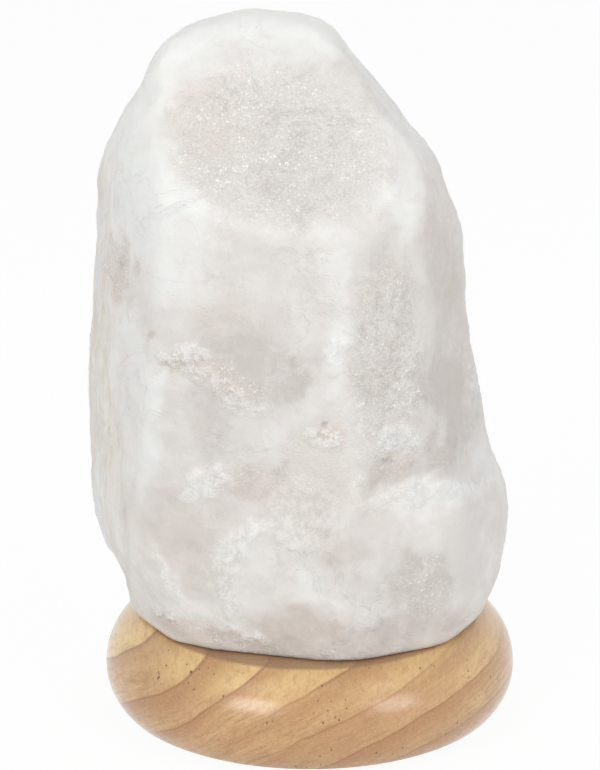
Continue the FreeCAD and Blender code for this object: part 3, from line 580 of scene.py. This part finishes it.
def saltFinish():
    look = Recipe("hewnSalt")
    grain = look.painted("grain")
    crust = look.painted("crust")
    # tone: the painted one, and on its duskier parts drifts at two sizes and patches with a frayed edge
    drifts = look.plus(
        look.between(look.clouds(32, 8, 0.6), 0.25, 0.75, -0.14, 0.14),
        look.between(look.clouds(120, 8, 0.65), 0.3, 0.7, -0.11, 0.11),
        look.between(look.clouds(62, 9, 0.68, warp=0.5), 0.50, 0.53, -0.05, 0.05),
        look.between(look.clouds(170, 9, 0.7), 0.55, 0.585, -0.01, 0.06),
    )
    calm = look.between(look.painted("tone"), 0.45, 0.85, 1.0, 0.35)
    stripes = look.clouds(1, 5, 0.6, look.mapped(scale=(620, 620, 20)))
    tone = look.plus(
        look.painted("tone"),
        look.times(drifts, calm),
        look.times(look.painted("side"), look.between(stripes, 0.3, 0.7, -0.2, 0.2)),
    )
    dusky = look.blendOf(look.between(tone, 0.0, 0.5), (0.608, 0.571, 0.537), (0.722, 0.697, 0.668))
    colour = look.blendOf(look.between(tone, 0.45, 1.0), dusky, (0.822, 0.832, 0.806))
    mottled = look.between(look.clouds(75, 6, 0.6), 0.35, 0.65, 0.25, 0.75)
    blush = look.times(look.painted("warm"), mottled)
    colour = look.blendOf(blush, colour, (0.720, 0.630, 0.560))
    moss = look.times(look.painted("olive"), look.between(look.clouds(240, 6, 0.6), 0.4, 0.6, 0.15, 0.7))
    colour = look.blendOf(moss, colour, (0.50, 0.45, 0.31))
    colour = look.blendOf(look.times(look.painted("pit"), 0.75), colour, (0.27, 0.20, 0.14))
    flakes = look.clouds(430, 8, 0.72)
    white = look.times(crust, look.between(flakes, 0.48, 0.52, 0.0, 0.9))
    colour = look.blendOf(white, colour, (0.91, 0.905, 0.88))
    # sugary crystals: dim ones and pale ones, and a few painted glints, bright points that stand in for
    # light off their facets
    first, second, third = look.crumbs(1700)
    dim = look.times(look.between(first, 0.45, 1.0, 0.0, 0.22), grain)
    colour = look.blendOf(dim, colour, (0.55, 0.505, 0.48))
    pale = look.times(look.between(second, 0.72, 0.95, 0.0, 0.45), grain)
    colour = look.blendOf(pale, colour, (0.86, 0.85, 0.825))
    clusters = look.between(look.clouds(85, 5, 0.65), 0.46, 0.60)
    shown = look.plus(look.times(grain, clusters, 0.75), look.times(crust, 0.5), 0.03)
    # painted glints: bright colour specks in place of real sparkle
    paintedGlint = look.times(look.between(third, 0.95, 0.965), shown)
    colour = look.blendOf(paintedGlint, colour, (1.0, 0.985, 0.955))
    look.colour(colour)
    sheen = look.between(first, 0.0, 1.0, 0.22, 0.55)
    look.roughness(look.plus(look.times(sheen, grain), look.between(grain, 0, 1, 0.46, 0.04)))
    # thin fracture lines, here and there
    swirl = look.sums("ABSOLUTE", look.sums("SUBTRACT", look.clouds(48, 6, 0.6, warp=0.9), 0.5))
    sparse = look.between(look.clouds(24, 3), 0.46, 0.60)
    fracture = look.times(look.between(swirl, 0.002, 0.014, 1.0, 0.0), sparse)
    low = look.bump(look.sums("SUBTRACT", 1.0, fracture), 0.45, 0.0007)
    low = look.bump(look.clouds(170, 6, 0.65), 0.35, 0.0009, low)
    low = look.bump(look.clouds(520, 7, 0.7), 0.45, 0.0005, low)
    low = look.bump(look.times(crust, flakes), 0.8, 0.0014, low)
    look.bump(look.times(look.cells(1700), grain), 0.6, 0.0004, low)
    look.surface(Subsurface_Weight=0.5, Subsurface_Scale=0.005, IOR=1.54)
    look.shader.inputs["Subsurface Radius"].default_value = (1.0, 0.84, 0.76)
    return look.material


makeCrystal()


wood = {
    "ringWidth": 10.6,  # mm
    "pith": (118, -175),  # where the rings have their middle, across and up, in mm
    "firstRing": 8.6,
    "lean": 8,  # degrees that the grain turns about the upright
    "flecks": [
        # dark resin flecks: their place on the front in mm, and their half length
        (-36.4, -45.9, 29.8, 1.3), (-39.6, -46.5, 24.5, 1.5), (-53.0, -27.0, 30.2, 0.8),
        (-46.5, -40.0, 26.8, 0.8), (-46.4, -41.0, 25.2, 0.9), (-43.8, -46.0, 21.0, 0.8),
        (-38.6, -50.8, 16.5, 1.1), (33.5, -46.0, 31.0, 0.9), (52.5, -34.0, 26.5, 0.9),
        (38.0, -49.5, 22.5, 0.6), (24.0, -58.0, 13.0, 0.6),
    ],
}


def pineFinish():
    look = Recipe("lacqueredPine")
    middle = (-wood["pith"][0] * mm, 0, -wood["pith"][1] * mm)
    tilted = look.mapped(turn=(0, 0, wood["lean"]), move=middle)
    wander = look.between(look.clouds(16, 3, 0.5), 0.2, 0.8, -0.0024, 0.0024)
    parts = look.parted(tilted)
    squares = [look.sums("POWER", parts[axis], 2.0) for axis in ("X", "Z")]
    reach = look.sums("POWER", look.plus(*squares), 0.5)
    past = look.sums("SUBTRACT", look.plus(reach, wander), wood["firstRing"] * mm)
    turns = look.sums("DIVIDE", past, wood["ringWidth"] * mm)
    year = look.sums("FRACT", turns)
    here = look.parted()
    # a pattern on these changes fast across the rings and slowly along them
    along = look.tree.nodes.new("ShaderNodeCombineXYZ")
    for socket, value in zip(along.inputs, (turns, look.times(here["X"], 14), look.times(here["Y"], 5))):
        look.link(value, socket)
    fine = look.clouds(9, 6, 0.68, along.outputs[0])
    broad = look.clouds(1.7, 3, 0.5, along.outputs[0])
    strength = look.between(look.clouds(0.9, 3, 0.5, along.outputs[0]), 0.36, 0.62, 0.08, 1.0)
    late = look.times(look.between(year, 0.1, 0.93), look.between(year, 0.955, 1.0, 1, 0), strength)
    line = look.times(look.between(year, 0.90, 0.955), look.between(year, 0.965, 0.995, 1, 0), strength)
    streaks = look.clouds(1, 6, 0.65, look.mapped(scale=(620, 26, 620), turn=(0, 0, wood["lean"])))
    fibres = look.clouds(1, 4, 0.6, look.mapped(scale=(1700, 60, 1700), turn=(0, 0, wood["lean"])))
    pores = look.clouds(1, 3, 0.6, look.mapped(scale=(1200, 1200, 300)))
    patches = look.clouds(16, 4, 0.55)
    pale = look.blendOf(look.between(patches, 0.3, 0.7), (0.930, 0.695, 0.320), (0.820, 0.570, 0.270))
    shifted = look.mapped(move=(0.3, 0.1, 0.2))
    ruddy = look.between(look.clouds(13, 3, 0.5, shifted), 0.40, 0.62, 0.0, 0.75)
    colour = look.blendOf(ruddy, pale, (0.520, 0.285, 0.135))
    colour = look.blendOf(look.between(broad, 0.42, 0.60, 0.0, 0.6), colour, (0.540, 0.320, 0.140))
    colour = look.blendOf(look.between(fine, 0.44, 0.64, 0.0, 0.7), colour, (0.420, 0.220, 0.090))
    # painted light: the upper part of the base, from 22 to 31 mm, made paler and yellower for the light
    # that falls on it from above
    top = look.between(here["Z"], 0.022, 0.031, 0.0, 0.55)
    colour = look.blendOf(top, colour, (0.880, 0.640, 0.270))
    right = look.between(here["X"], -0.015, 0.03, 0.0, 0.35)
    colour = look.blendOf(right, colour, (0.520, 0.285, 0.135))
    colour = look.blendOf(look.times(late, 0.8), colour, (0.430, 0.215, 0.085))
    colour = look.blendOf(look.times(line, 0.6), colour, (0.30, 0.135, 0.055))
    colour = look.blendOf(look.between(streaks, 0.4, 0.75, 0.0, 0.45), colour, (0.40, 0.205, 0.09))
    colour = look.blendOf(look.between(fibres, 0.45, 0.8, 0.0, 0.22), colour, (0.86, 0.64, 0.38))
    colour = look.blendOf(look.between(pores, 0.58, 0.75, 0.0, 0.35), colour, (0.40, 0.21, 0.10))
    small = look.between(look.cells(400, look.mapped(scale=(1, 1, 0.5))), 0.08, 0.14, 0.9, 0)
    dark = look.times(small, look.between(look.clouds(50, 2), 0.45, 0.55))
    slim = 1.9  # flecks are this many times as high as wide
    for x, y, z, size in wood["flecks"]:
        near = look.tree.nodes.new("ShaderNodeVectorMath")
        near.operation = "LENGTH"
        move = (-slim * x * mm, -slim * y * mm, -z * mm)
        look.link(look.mapped(scale=(slim, slim, 1), move=move), near.inputs[0])
        ragged = look.plus(near.outputs["Value"], look.between(pores, 0.3, 0.7, -0.0003, 0.0003))
        dark = look.sums("MAXIMUM", dark, look.between(ragged, size * 0.6 * mm, size * 1.1 * mm, 0.9, 0))
    colour = look.blendOf(dark, colour, (0.12, 0.048, 0.024))
    # painted shadow: the flat seat top darkened for the shade under the crystal's overhanging foot
    seat = look.between(here["Z"], 0.0325, 0.0331, 0.0, 0.75)
    colour = look.blendOf(seat, colour, (0.26, 0.13, 0.06))
    look.colour(colour)
    look.roughness(look.between(streaks, 0.3, 0.8, 0.32, 0.46))
    low = look.bump(look.plus(streaks, look.times(late, 0.6)), 0.14, 0.0004)
    look.bump(look.sums("SUBTRACT", 1.0, dark), 0.4, 0.0004, low)
    look.surface(Coat_Weight=0.9, Coat_Roughness=0.2, Coat_IOR=1.46, IOR=1.38)
    return look.material


dress(nodes["wood_base"], pineFinish())
print("wood done")

bodies = frame["record"]["behaviour"]["bodies"]
bodyOf = {node: body for body in bodies for node in bodies[body]}


def turned(name, outline, steps=64, middle=(0, 0)):
    # spun about the upright; the outline is in mm, from the axis and above the table
    deselectAll()
    bpy.ops.mesh.primitive_plane_add(size=mm)
    piece = bpy.context.object
    piece.name = name
    bpy.ops.object.mode_set(mode="EDIT")
    bpy.ops.mesh.merge(type="CENTER")
    here = Vector((0, 0, 0))
    for radius, height in outline:
        there = Vector((radius, 0, height)) * mm
        if here.length:
            bpy.ops.mesh.extrude_region_move(TRANSFORM_OT_translate={"value": there - here})
        else:
            bpy.ops.transform.translate(value=there)
        here = there
    bpy.ops.mesh.select_all(action="SELECT")
    bpy.ops.mesh.spin(steps=steps, angle=math.tau, center=(0, 0, 0), axis=(0, 0, 1))
    bpy.ops.mesh.select_all(action="SELECT")
    bpy.ops.mesh.remove_doubles(threshold=1e-6)
    bpy.ops.mesh.normals_make_consistent(inside=False)
    bpy.ops.transform.translate(value=(middle[0] * mm, middle[1] * mm, 0))
    bpy.ops.object.mode_set(mode="OBJECT")
    return piece


def arcOf(middle, radius, start, stop, steps):
    angles = [math.radians(start + (stop - start) * count / steps) for count in range(steps + 1)]
    return [(middle[0] + radius * math.cos(a), middle[1] + radius * math.sin(a)) for a in angles]


def rows(radius, low, high, step):
    # a straight wall with a point every step, for a thread or ribs
    count = max(1, round(abs(high - low) / step))
    return [(radius, low + (high - low) * number / count) for number in range(count + 1)]


def rollThread(piece, thread):
    # moves a wall out and in along a right-hand helix
    points = readPoints(piece) / mm
    reach = np.hypot(points[:, 0], points[:, 1])
    bearing = np.arctan2(points[:, 1], points[:, 0])
    wave = np.cos(math.tau * points[:, 2] / thread["pitch"] - bearing)
    wave = ((1 + wave) / 2) ** thread["crest"] * 2 - 1
    low, high, fade = thread["low"], thread["high"], thread["fade"]
    share = smoothStep(points[:, 2], low, low + fade) * smoothStep(-points[:, 2], -high, fade - high)
    share = np.where(reach > thread["least"], share, 0)
    points[:, :2] *= (1 + thread["depth"] * wave * share / np.maximum(reach, 0.1))[:, None]
    writePoints(piece, points * mm)


def copied(piece, move):
    other = piece.copy()
    other.data = piece.data.copy()
    other.data.transform(Matrix.Translation(Vector(move) * mm))
    bpy.context.scene.collection.objects.link(other)
    return other


def joined(pieces, name):
    makeActive(pieces[0])
    for piece in pieces:
        piece.select_set(True)
    bpy.ops.object.join()
    pieces[0].name = name
    return pieces[0]


def carved(piece, cutter):
    # takes the cutter's shape out of the piece
    applied(piece, "BOOLEAN", object=cutter, operation="DIFFERENCE", solver="EXACT")
    bpy.data.objects.remove(cutter)


def blockOf(size, middle, taper=1.0):
    # a block in mm whose top is as narrow as the taper says
    deselectAll()
    bpy.ops.mesh.primitive_cube_add(size=1, location=Vector(middle) * mm, scale=Vector(size) * mm)
    bpy.ops.object.transform_apply(location=True, rotation=True, scale=True)
    block = bpy.context.object
    points = readPoints(block)
    top = points[:, 2] > middle[2] * mm
    points[top, :2] = np.array(middle[:2]) * mm + (points[top, :2] - np.array(middle[:2]) * mm) * taper
    writePoints(block, points)
    return block


def wirePiece(name, runs, radius, resolution=2, kind="POLY"):
    line = bpy.data.curves.new(name, "CURVE")
    line.dimensions = "3D"
    line.bevel_depth = radius * mm
    line.bevel_resolution = resolution
    line.use_fill_caps = True
    for points in runs:
        run = line.splines.new(kind)
        run.points.add(len(points) - 1)
        for spot, place in zip(run.points, points):
            spot.co = (*(Vector(place) * mm), 1)
        run.order_u = 3
        run.use_endpoint_u = True
    piece = bpy.data.objects.new(name, line)
    bpy.context.scene.collection.objects.link(piece)
    makeActive(piece)
    bpy.ops.object.convert(target="MESH")
    bpy.ops.object.mode_set(mode="EDIT")
    bpy.ops.mesh.select_all(action="SELECT")
    bpy.ops.mesh.remove_doubles(threshold=1e-7)
    bpy.ops.mesh.normals_make_consistent(inside=False)
    bpy.ops.object.mode_set(mode="OBJECT")
    return piece


def finished(piece, node, material, bevel=0.0, segments=2):
    if bevel:
        applied(piece, "BEVEL", width=bevel * mm, segments=segments, limit_method="ANGLE",
                angle_limit=math.radians(30))
    makeActive(piece)
    bpy.ops.object.shade_smooth_by_angle(angle=math.radians(38))
    dress(piece, material)
    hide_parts(node)
    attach(piece, bodyOf[node])


def metalFinish(name, colour, dull, rough, brushed=(1, 1, 1), tarnish=0.4):
    look = Recipe(name)
    drift = look.clouds(140, 4, 0.6)
    tint = look.blendOf(look.between(drift, 0.35, 0.7, 0.0, tarnish), colour, dull)
    scratches = look.clouds(900, 3, 0.7, look.mapped(scale=brushed))
    tint = look.blendOf(look.between(scratches, 0.6, 0.75, 0.0, 0.35), tint, dull)
    look.colour(tint)
    look.roughness(look.between(look.plus(scratches, drift), 0.7, 1.3, rough - 0.08, rough + 0.12))
    look.bump(scratches, 0.08, 0.0002)
    look.surface(Metallic=1.0)
    return look.material


def mouldedFinish(name, colour, shade, rough, grain=260, deep=0.15):
    look = Recipe(name)
    tint = look.blendOf(look.between(look.clouds(70, 4), 0.3, 0.7), colour, shade)
    fine = look.clouds(grain * 6, 3, 0.6)
    tint = look.blendOf(look.between(fine, 0.6, 0.8, 0.0, 0.25), tint, shade)
    look.colour(tint)
    look.roughness(look.between(look.clouds(grain, 4), 0.3, 0.7, rough - 0.06, rough + 0.08))
    look.bump(look.plus(look.clouds(grain, 3), look.times(fine, 0.3)), deep, 0.0002)
    look.surface(IOR=1.49)
    return look.material


def glassFinish(name, first, second, ior):
    look = Recipe(name)
    waves = look.clouds(60, 3)
    look.colour(look.blendOf(look.between(waves, 0.3, 0.7), first, second))
    look.roughness(look.between(look.clouds(900, 3), 0.6, 0.8, 0.01, 0.05))
    look.bump(waves, 0.05, 0.0005)
    look.surface(Transmission_Weight=1.0, IOR=ior)
    return look.material


brassPressed = metalFinish("brassPressed", (0.80, 0.60, 0.27), (0.52, 0.36, 0.16), 0.3)
brassTurned = metalFinish("brassTurned", (0.82, 0.63, 0.30), (0.50, 0.36, 0.17), 0.26, (1, 1, 0.1))
nickelRolled = metalFinish("nickelRolled", (0.77, 0.76, 0.73), (0.55, 0.53, 0.49), 0.26, (0.2, 0.2, 1))
springBright = metalFinish("springBright", (0.60, 0.61, 0.63), (0.40, 0.40, 0.40), 0.3, (1, 1, 0.08))
zincPlated = metalFinish("zincPlated", (0.68, 0.68, 0.64), (0.50, 0.47, 0.36), 0.34, (1, 1, 1), 0.6)
solderFinish = metalFinish("solderDull", (0.66, 0.66, 0.66), (0.45, 0.45, 0.44), 0.4)
tungstenDrawn = metalFinish("tungstenDrawn", (0.38, 0.37, 0.36), (0.25, 0.24, 0.24), 0.4)
whiteMoulded = mouldedFinish("whiteMoulded", (0.87, 0.87, 0.845), (0.80, 0.79, 0.76), 0.36)
greyNylon = mouldedFinish("greyNylon", (0.55, 0.56, 0.58), (0.46, 0.47, 0.49), 0.5)
softRubber = mouldedFinish("softRubber", (0.80, 0.80, 0.77), (0.70, 0.70, 0.66), 0.42, 150, 0.25)
softRubber.node_tree.nodes["Principled BSDF"].inputs["Transmission Weight"].default_value = 0.25
clearGlass = glassFinish("clearGlass", (0.97, 0.985, 0.985), (1.0, 1.0, 1.0), 1.5)
stemGlass = glassFinish("stemGlass", (0.90, 0.94, 0.93), (0.97, 0.985, 0.98), 1.54)
print("finishes ready")


def ceramicFinish():
    look = Recipe("unglazedCeramic")
    drift = look.between(look.clouds(90, 5), 0.3, 0.7)
    tint = look.blendOf(drift, (0.90, 0.885, 0.84), (0.83, 0.81, 0.75))
    specks = look.between(look.cells(700), 0.1, 0.2, 0.5, 0.0)
    specks = look.times(specks, look.between(look.clouds(160, 2), 0.5, 0.6))
    tint = look.blendOf(specks, tint, (0.42, 0.35, 0.27))
    look.colour(tint)
    look.roughness(look.between(look.clouds(400, 4), 0.3, 0.7, 0.5, 0.72))
    look.bump(look.clouds(900, 5, 0.7), 0.3, 0.0003)
    return look.material


def blackGlassFinish():
    look = Recipe("blackGlass")
    drift = look.between(look.clouds(200, 4), 0.4, 0.7)
    tint = look.blendOf(drift, (0.012, 0.012, 0.016), (0.05, 0.05, 0.058))
    look.colour(tint)
    look.roughness(look.between(look.clouds(500, 4), 0.3, 0.7, 0.08, 0.24))
    look.bump(look.clouds(260, 3), 0.12, 0.0004)
    look.surface(IOR=1.52, Coat_Weight=0.4)
    return look.material


foot = {
    "circle": 45.0,  # mm
    "outline": [(0, 0.45), (3.2, 0.4), (3.9, 0.15), (4.5, 0.0), (5.1, 0.05), (5.65, 0.45), (5.95, 1.2),
                (6.0, 2.2), (5.95, 3.4), (5.75, 4.0), (0, 4.0)],
}


def makeFeet():
    for number in range(4):
        angle = math.radians(45 + 90 * number)
        middle = (foot["circle"] * math.cos(angle), foot["circle"] * math.sin(angle))
        # the CAD's feet are numbered in some order, so each piece finds the node it stands on
        near = {math.dist(middle, [v / mm / 2 for v in map(sum, zip(*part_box(node)))][:2]): node
                for node in nodes if node.startswith("rubber_foot")}
        piece = turned("softFoot" + str(number + 1), foot["outline"], 40, middle)
        finished(piece, near[min(near)], softRubber, 0.12)


screw = {
    "circle": 38.0,
    "angles": (-90, 30, 150),
    "underside": 4.3,
    "head": [(0, 4.3), (3.55, 4.3), (3.9, 4.42), (4.0, 4.62), (3.9, 4.85), (2.15, 6.6), (1.95, 7.2),
             (1.95, 19.4)],
    "core": 1.5,
    "coreRun": (20.2, 47.2, 0.2),  # from, to and the step
    "tip": [(0.9, 48.2), (0.0, 49.25)],
    "thread": {"pitch": 1.9, "crest": 3.2, "low": 20.4, "high": 47.4, "fade": 1.5, "depth": 0.48,
               "least": 0.8},
    "recess": (4.1, 0.95, 1.5),  # the cross: its length, width and depth
}


def atScrews(one, name):
    # copies at the three screws' places, joined into one piece
    places = [math.radians(angle) for angle in screw["angles"]]
    reach = screw["circle"]
    three = [copied(one, (reach * math.cos(a), reach * math.sin(a), 0)) for a in places]
    bpy.data.objects.remove(one)
    return joined(three, name)


def makeScrews():
    wall = rows(screw["core"], *screw["coreRun"])
    one = turned("screwOne", screw["head"] + wall + screw["tip"], 28)
    rollThread(one, screw["thread"])
    long, wide, deep = screw["recess"]
    for size in ((long, wide, 2 * deep), (wide, long, 2 * deep)):
        carved(one, blockOf(size, (0, 0, screw["underside"]), 0.45))
    finished(atScrews(one, "baseScrews"), "base_screws", zincPlated)


plug = {"outer": 4.15, "bore": 2.1, "low": 33.3, "high": 59.2, "rib": 0.35, "pitch": 2.2}


def makePlugs():
    # a ribbed sleeve: a wedge-shaped rib every pitch
    outline = [(plug["bore"], plug["low"]), (plug["outer"], plug["low"])]
    height = plug["low"] + plug["pitch"]
    while height < plug["high"] - 1.5:
        outline += [(plug["outer"], height), (plug["outer"] - plug["rib"], height + 0.05)]
        height += plug["pitch"]
    outline += [(plug["outer"] - 0.9, plug["high"]), (plug["bore"], plug["high"]), outline[0]]
    one = turned("plugOne", outline, 24)
    finished(atScrews(one, "ribbedPlugs"), "screw_plugs", greyNylon)


holder = {
    "cap": [(3.6, 7.8), (3.9, 7.5), (14.4, 7.5), (15.1, 7.8), (15.5, 8.6)],
    "capRim": [(15.5, 20.2), (15.3, 20.5), (13.9, 20.5), (13.7, 20.3), (13.7, 14.5), (11, 14.5),
               (11, 9.5), (3.9, 9.5), (3.6, 9.2), (3.6, 7.8)],
    "capRadius": 15.5,
    "fluteRun": (9.2, 19.4),
    "fluteFade": 1.2,
    "flutes": 32,
    "fluteDepth": 0.5,
    "body": [(11.0, 14.8), (11.3, 14.5), (13.2, 14.5), (13.5, 14.8), (13.5, 20.45), (13.3, 20.6),
             (13.3, 21.2), (13.5, 21.4), (13.5, 50.9), (13.3, 51.5), (12.6, 52.0), (8.5, 52.0),
             (7.95, 51.7), (7.8, 51.2), (7.8, 28.5), (11.0, 28.5), (11.0, 14.8)],
}


def makeHolder():
    low, high = holder["fluteRun"]
    wall = rows(holder["capRadius"], low, high, 0.6)
    cap = turned("holderCap", holder["cap"] + wall + holder["capRim"], 192)
    points = readPoints(cap) / mm
    reach = np.hypot(points[:, 0], points[:, 1])
    bearing = np.arctan2(points[:, 1], points[:, 0])
    fade = holder["fluteFade"]
    share = smoothStep(points[:, 2], low, low + fade) * smoothStep(-points[:, 2], -high, fade - high)
    share = np.where(reach > holder["capRadius"] - 0.3, share, 0)
    groove = (0.5 + 0.5 * np.cos(holder["flutes"] * bearing)) ** 2
    points[:, :2] *= (1 - holder["fluteDepth"] * groove * share / np.maximum(reach, 0.1))[:, None]
    writePoints(cap, points * mm)
    finished(cap, "holder_cap", whiteMoulded)
    finished(turned("holderBody", holder["body"], 96), "holder_body", whiteMoulded)


bulb = {
    "thread": {"pitch": 2.822, "crest": 1, "fade": 1.2, "least": 5.6},
    "capLow": [(5.05, 34.0), (5.3, 33.7), (5.75, 34.1), (6.25, 34.9), (6.55, 35.6)],
    "capHigh": [(6.62, 48.2), (6.8, 48.6), (6.85, 50.3), (6.9, 50.6), (6.75, 50.7), (6.6, 50.5),
                (6.6, 48.7), (6.35, 48.2)],
    "capEnd": [(6.2, 35.6), (5.9, 34.95), (5.05, 34.0)],
    "shellLow": [(7.32, 28.5), (7.32, 30.2)],
    "shellRim": [(7.6, 49.75), (7.55, 50.0), (7.25, 49.95)],
    "capWall": (6.62, 6.32),  # outer and inner radius
    "shellWall": (7.32, 6.97),
    "threadStep": 0.235,  # between the rows of points on a threaded wall
    "neck": 6.5,
    "body": 12.5,
    "wall": 0.6,
    "swell": 7.5,  # radius of the two arcs between neck and body
    "bend": 53.13,  # degrees of each of them
    "glassEdge": [(6.5, 45.0), (6.35, 44.75), (6.05, 44.75), (5.9, 45.0)],
}


def makeScrewCaps():
    step = bulb["threadStep"]
    outside, inside = bulb["capWall"]
    outer = bulb["capLow"] + rows(outside, 36.0, 47.9, step)
    inner = rows(inside, 47.9, 36.0, step) + bulb["capEnd"]
    cap = turned("bulbScrewCap", outer + bulb["capHigh"] + inner, 96)
    rollThread(cap, {**bulb["thread"], "low": 35.9, "high": 48.2, "depth": 0.28})
    finished(cap, "bulb_screw_cap", nickelRolled)
    outside, inside = bulb["shellWall"]
    outer = bulb["shellLow"] + rows(outside, 30.2, 49.4, step)
    inner = rows(inside, 49.4, 28.5, step) + bulb["shellLow"][:1]
    shell = turned("screwShell", outer + bulb["shellRim"] + inner, 96)
    rollThread(shell, {**bulb["thread"], "low": 29.6, "high": 49.6, "depth": 0.26})
    finished(shell, "screw_shell", brassPressed)


def makeGlass():
    swell, wall, body, neck = (bulb[key] for key in ("swell", "wall", "body", "neck"))
    low, high, dome = ((neck + swell, 50.7), (body - swell, 62.7), (0, 76.5))
    bend = bulb["bend"]
    outer = arcOf(dome, body, 90, 0, 18) + arcOf(high, swell, 0, -bend, 8)
    outer += arcOf(low, swell, 180 - bend, 180, 8)[1:]
    inner = arcOf(low, swell + wall, 180, 180 - bend, 8) + arcOf(high, swell - wall, -bend, 0, 8)[1:]
    inner += arcOf(dome, body - wall, 0, 90, 18)
    finished(turned("bulbGlass", outer + bulb["glassEdge"] + inner, 80), "bulb_glass", clearGlass)
    stem = turned("glassStem", stemOutline, 48)
    points = readPoints(stem) / mm
    pinch = smoothStep(points[:, 2], 54.5, 58.5)
    points[:, 0] *= 1 + 0.2 * pinch
    points[:, 1] *= 1 - 0.55 * pinch
    writePoints(stem, points * mm)
    finished(stem, "bulb_stem", stemGlass)


stemOutline = [(0, 46.6), (1.4, 46.4), (3.2, 45.5), (4.9, 44.8), (5.5, 44.72), (5.78, 44.9), (5.5, 45.3),
               (4.2, 45.9), (3.0, 46.8), (2.35, 48.2), (2.2, 50.5), (2.2, 54.5), (2.25, 56.5), (2.25, 58.5),
               (2.2, 60.4), (1.9, 61.3), (1.2, 61.7), (0, 61.75)]
leads = {
    "radius": 0.28,
    "route": [(1.2, 50.5), (1.2, 57.0), (1.2, 61.7), (1.25, 63.9), (3.2, 67.6), (5.5, 70.3), (5.6, 71.6),
              (5.6, 72.95)],
}
filament = {
    "route": [(-5.6, 73.0), (-2.8, 75.6), (0, 74.3), (2.8, 75.6), (5.6, 73.0)],
    "wire": 0.055,
    "coil": 0.19,  # radius of the coil's turns
    "turns": 58,
    "sides": 10,  # points in each turn
}


def makeWires():
    runs = [[(side * x, 0, z) for x, z in leads["route"]] for side in (-1, 1)]
    finished(wirePiece("leadWires", runs, leads["radius"], 3, "NURBS"), "bulb_lead_wires", tungstenDrawn)
    corners = np.array(filament["route"])
    lengths = np.hypot(*np.diff(corners, axis=0).T)
    along = np.concatenate(([0], np.cumsum(lengths)))
    helix = []
    count = filament["turns"] * filament["sides"]
    for number in range(count + 1):
        at = along[-1] * number / count
        x, z = (np.interp(at, along, corners[:, axis]) for axis in (0, 1))
        before, after = (
            [np.interp(np.clip(at + step, 0, along[-1]), along, corners[:, axis]) for axis in (0, 1)]
            for step in (-0.4, 0.4)
        )
        slope = math.atan2(after[1] - before[1], after[0] - before[0])
        turn = math.tau * number / filament["sides"]
        out = filament["coil"] * math.cos(turn)
        aside = filament["coil"] * math.sin(turn)
        helix.append((x - out * math.sin(slope), aside, z + out * math.cos(slope)))
    finished(wirePiece("coiledFilament", [helix], filament["wire"], 1), "bulb_filament", tungstenDrawn)


contact = {
    "tip": [(0, 32.0), (0.7, 32.06), (1.5, 32.3), (2.2, 32.62), (2.55, 32.86), (2.6, 32.9), (0, 32.9)],
    "insulator": [(0, 32.9), (2.75, 32.9), (3.1, 33.0), (3.4, 33.3), (4.6, 33.75), (4.95, 34.05),
                  (5.0, 34.3), (6.0, 35.3), (6.15, 35.85), (0, 35.9)],
    "rivet": [(0, 11.2), (1.2, 11.2), (1.2, 14.25), (2.2, 14.25), (2.2, 14.5), (2.05, 14.85), (1.6, 15.1),
              (0.9, 15.22), (0, 15.25)],
    "rivetHeight": 46,
    "screwHead": [(0, 18.7), (2.3, 18.7), (2.55, 18.85), (2.6, 19.1), (2.6, 20.3), (2.45, 20.5),
                  (1.45, 20.5)],
    "screwEnd": [(0.9, 26.5), (0, 26.5)],
    "screwThread": {"pitch": 0.7, "crest": 1, "low": 20.7, "high": 26.4, "fade": 0.4, "depth": 0.12,
                    "least": 1.2},
    "screwApart": 14,
    "slot": (6.0, 0.75, 1.6),
}


def makeContacts():
    finished(turned("contactTip", contact["tip"], 40), "bulb_tip", solderFinish)
    finished(turned("tipInsulator", contact["insulator"], 64), "bulb_insulator", blackGlassFinish())
    shank = rows(1.35, 20.6, 26.3, 0.14)
    one = turned("terminalOne", contact["screwHead"] + shank + contact["screwEnd"], 32)
    rollThread(one, contact["screwThread"])
    carved(one, blockOf(contact["slot"], (0, 0, 18.7)))
    pair = [copied(one, (side * contact["screwApart"] / 2, 0, 0)) for side in (-1, 1)]
    bpy.data.objects.remove(one)
    finished(joined(pair, "terminalScrews"), "terminal_screws", brassTurned)
    heads = []
    for angle in (90, -90):
        head = turned("rivetHead", contact["rivet"], 32)
        lift = Matrix.Translation((0, 0, contact["rivetHeight"] * mm))
        head.data.transform(lift @ Matrix.Rotation(math.radians(angle), 4, "Y"))
        heads.append(head)
    finished(joined(heads, "clipRivets"), "clip_rivets", nickelRolled)
    for node, name in (("clip_right", "springClipRight"), ("clip_left", "springClipLeft")):
        finished(copyNode(node, name), node, springBright, 0.14, 3)
    finished(copyNode("centre_contact", "contactLeaf"), "centre_contact", brassPressed, 0.1, 2)
    finished(copyNode("terminal_block", "terminalBlock"), "terminal_block", ceramicFinish(), 0.3, 2)


makeFeet()
makeScrews()
makePlugs()
print("feet, screws and plugs done")
makeHolder()
makeScrewCaps()
makeContacts()
print("holder done")
makeGlass()
makeWires()
print("bulb done")
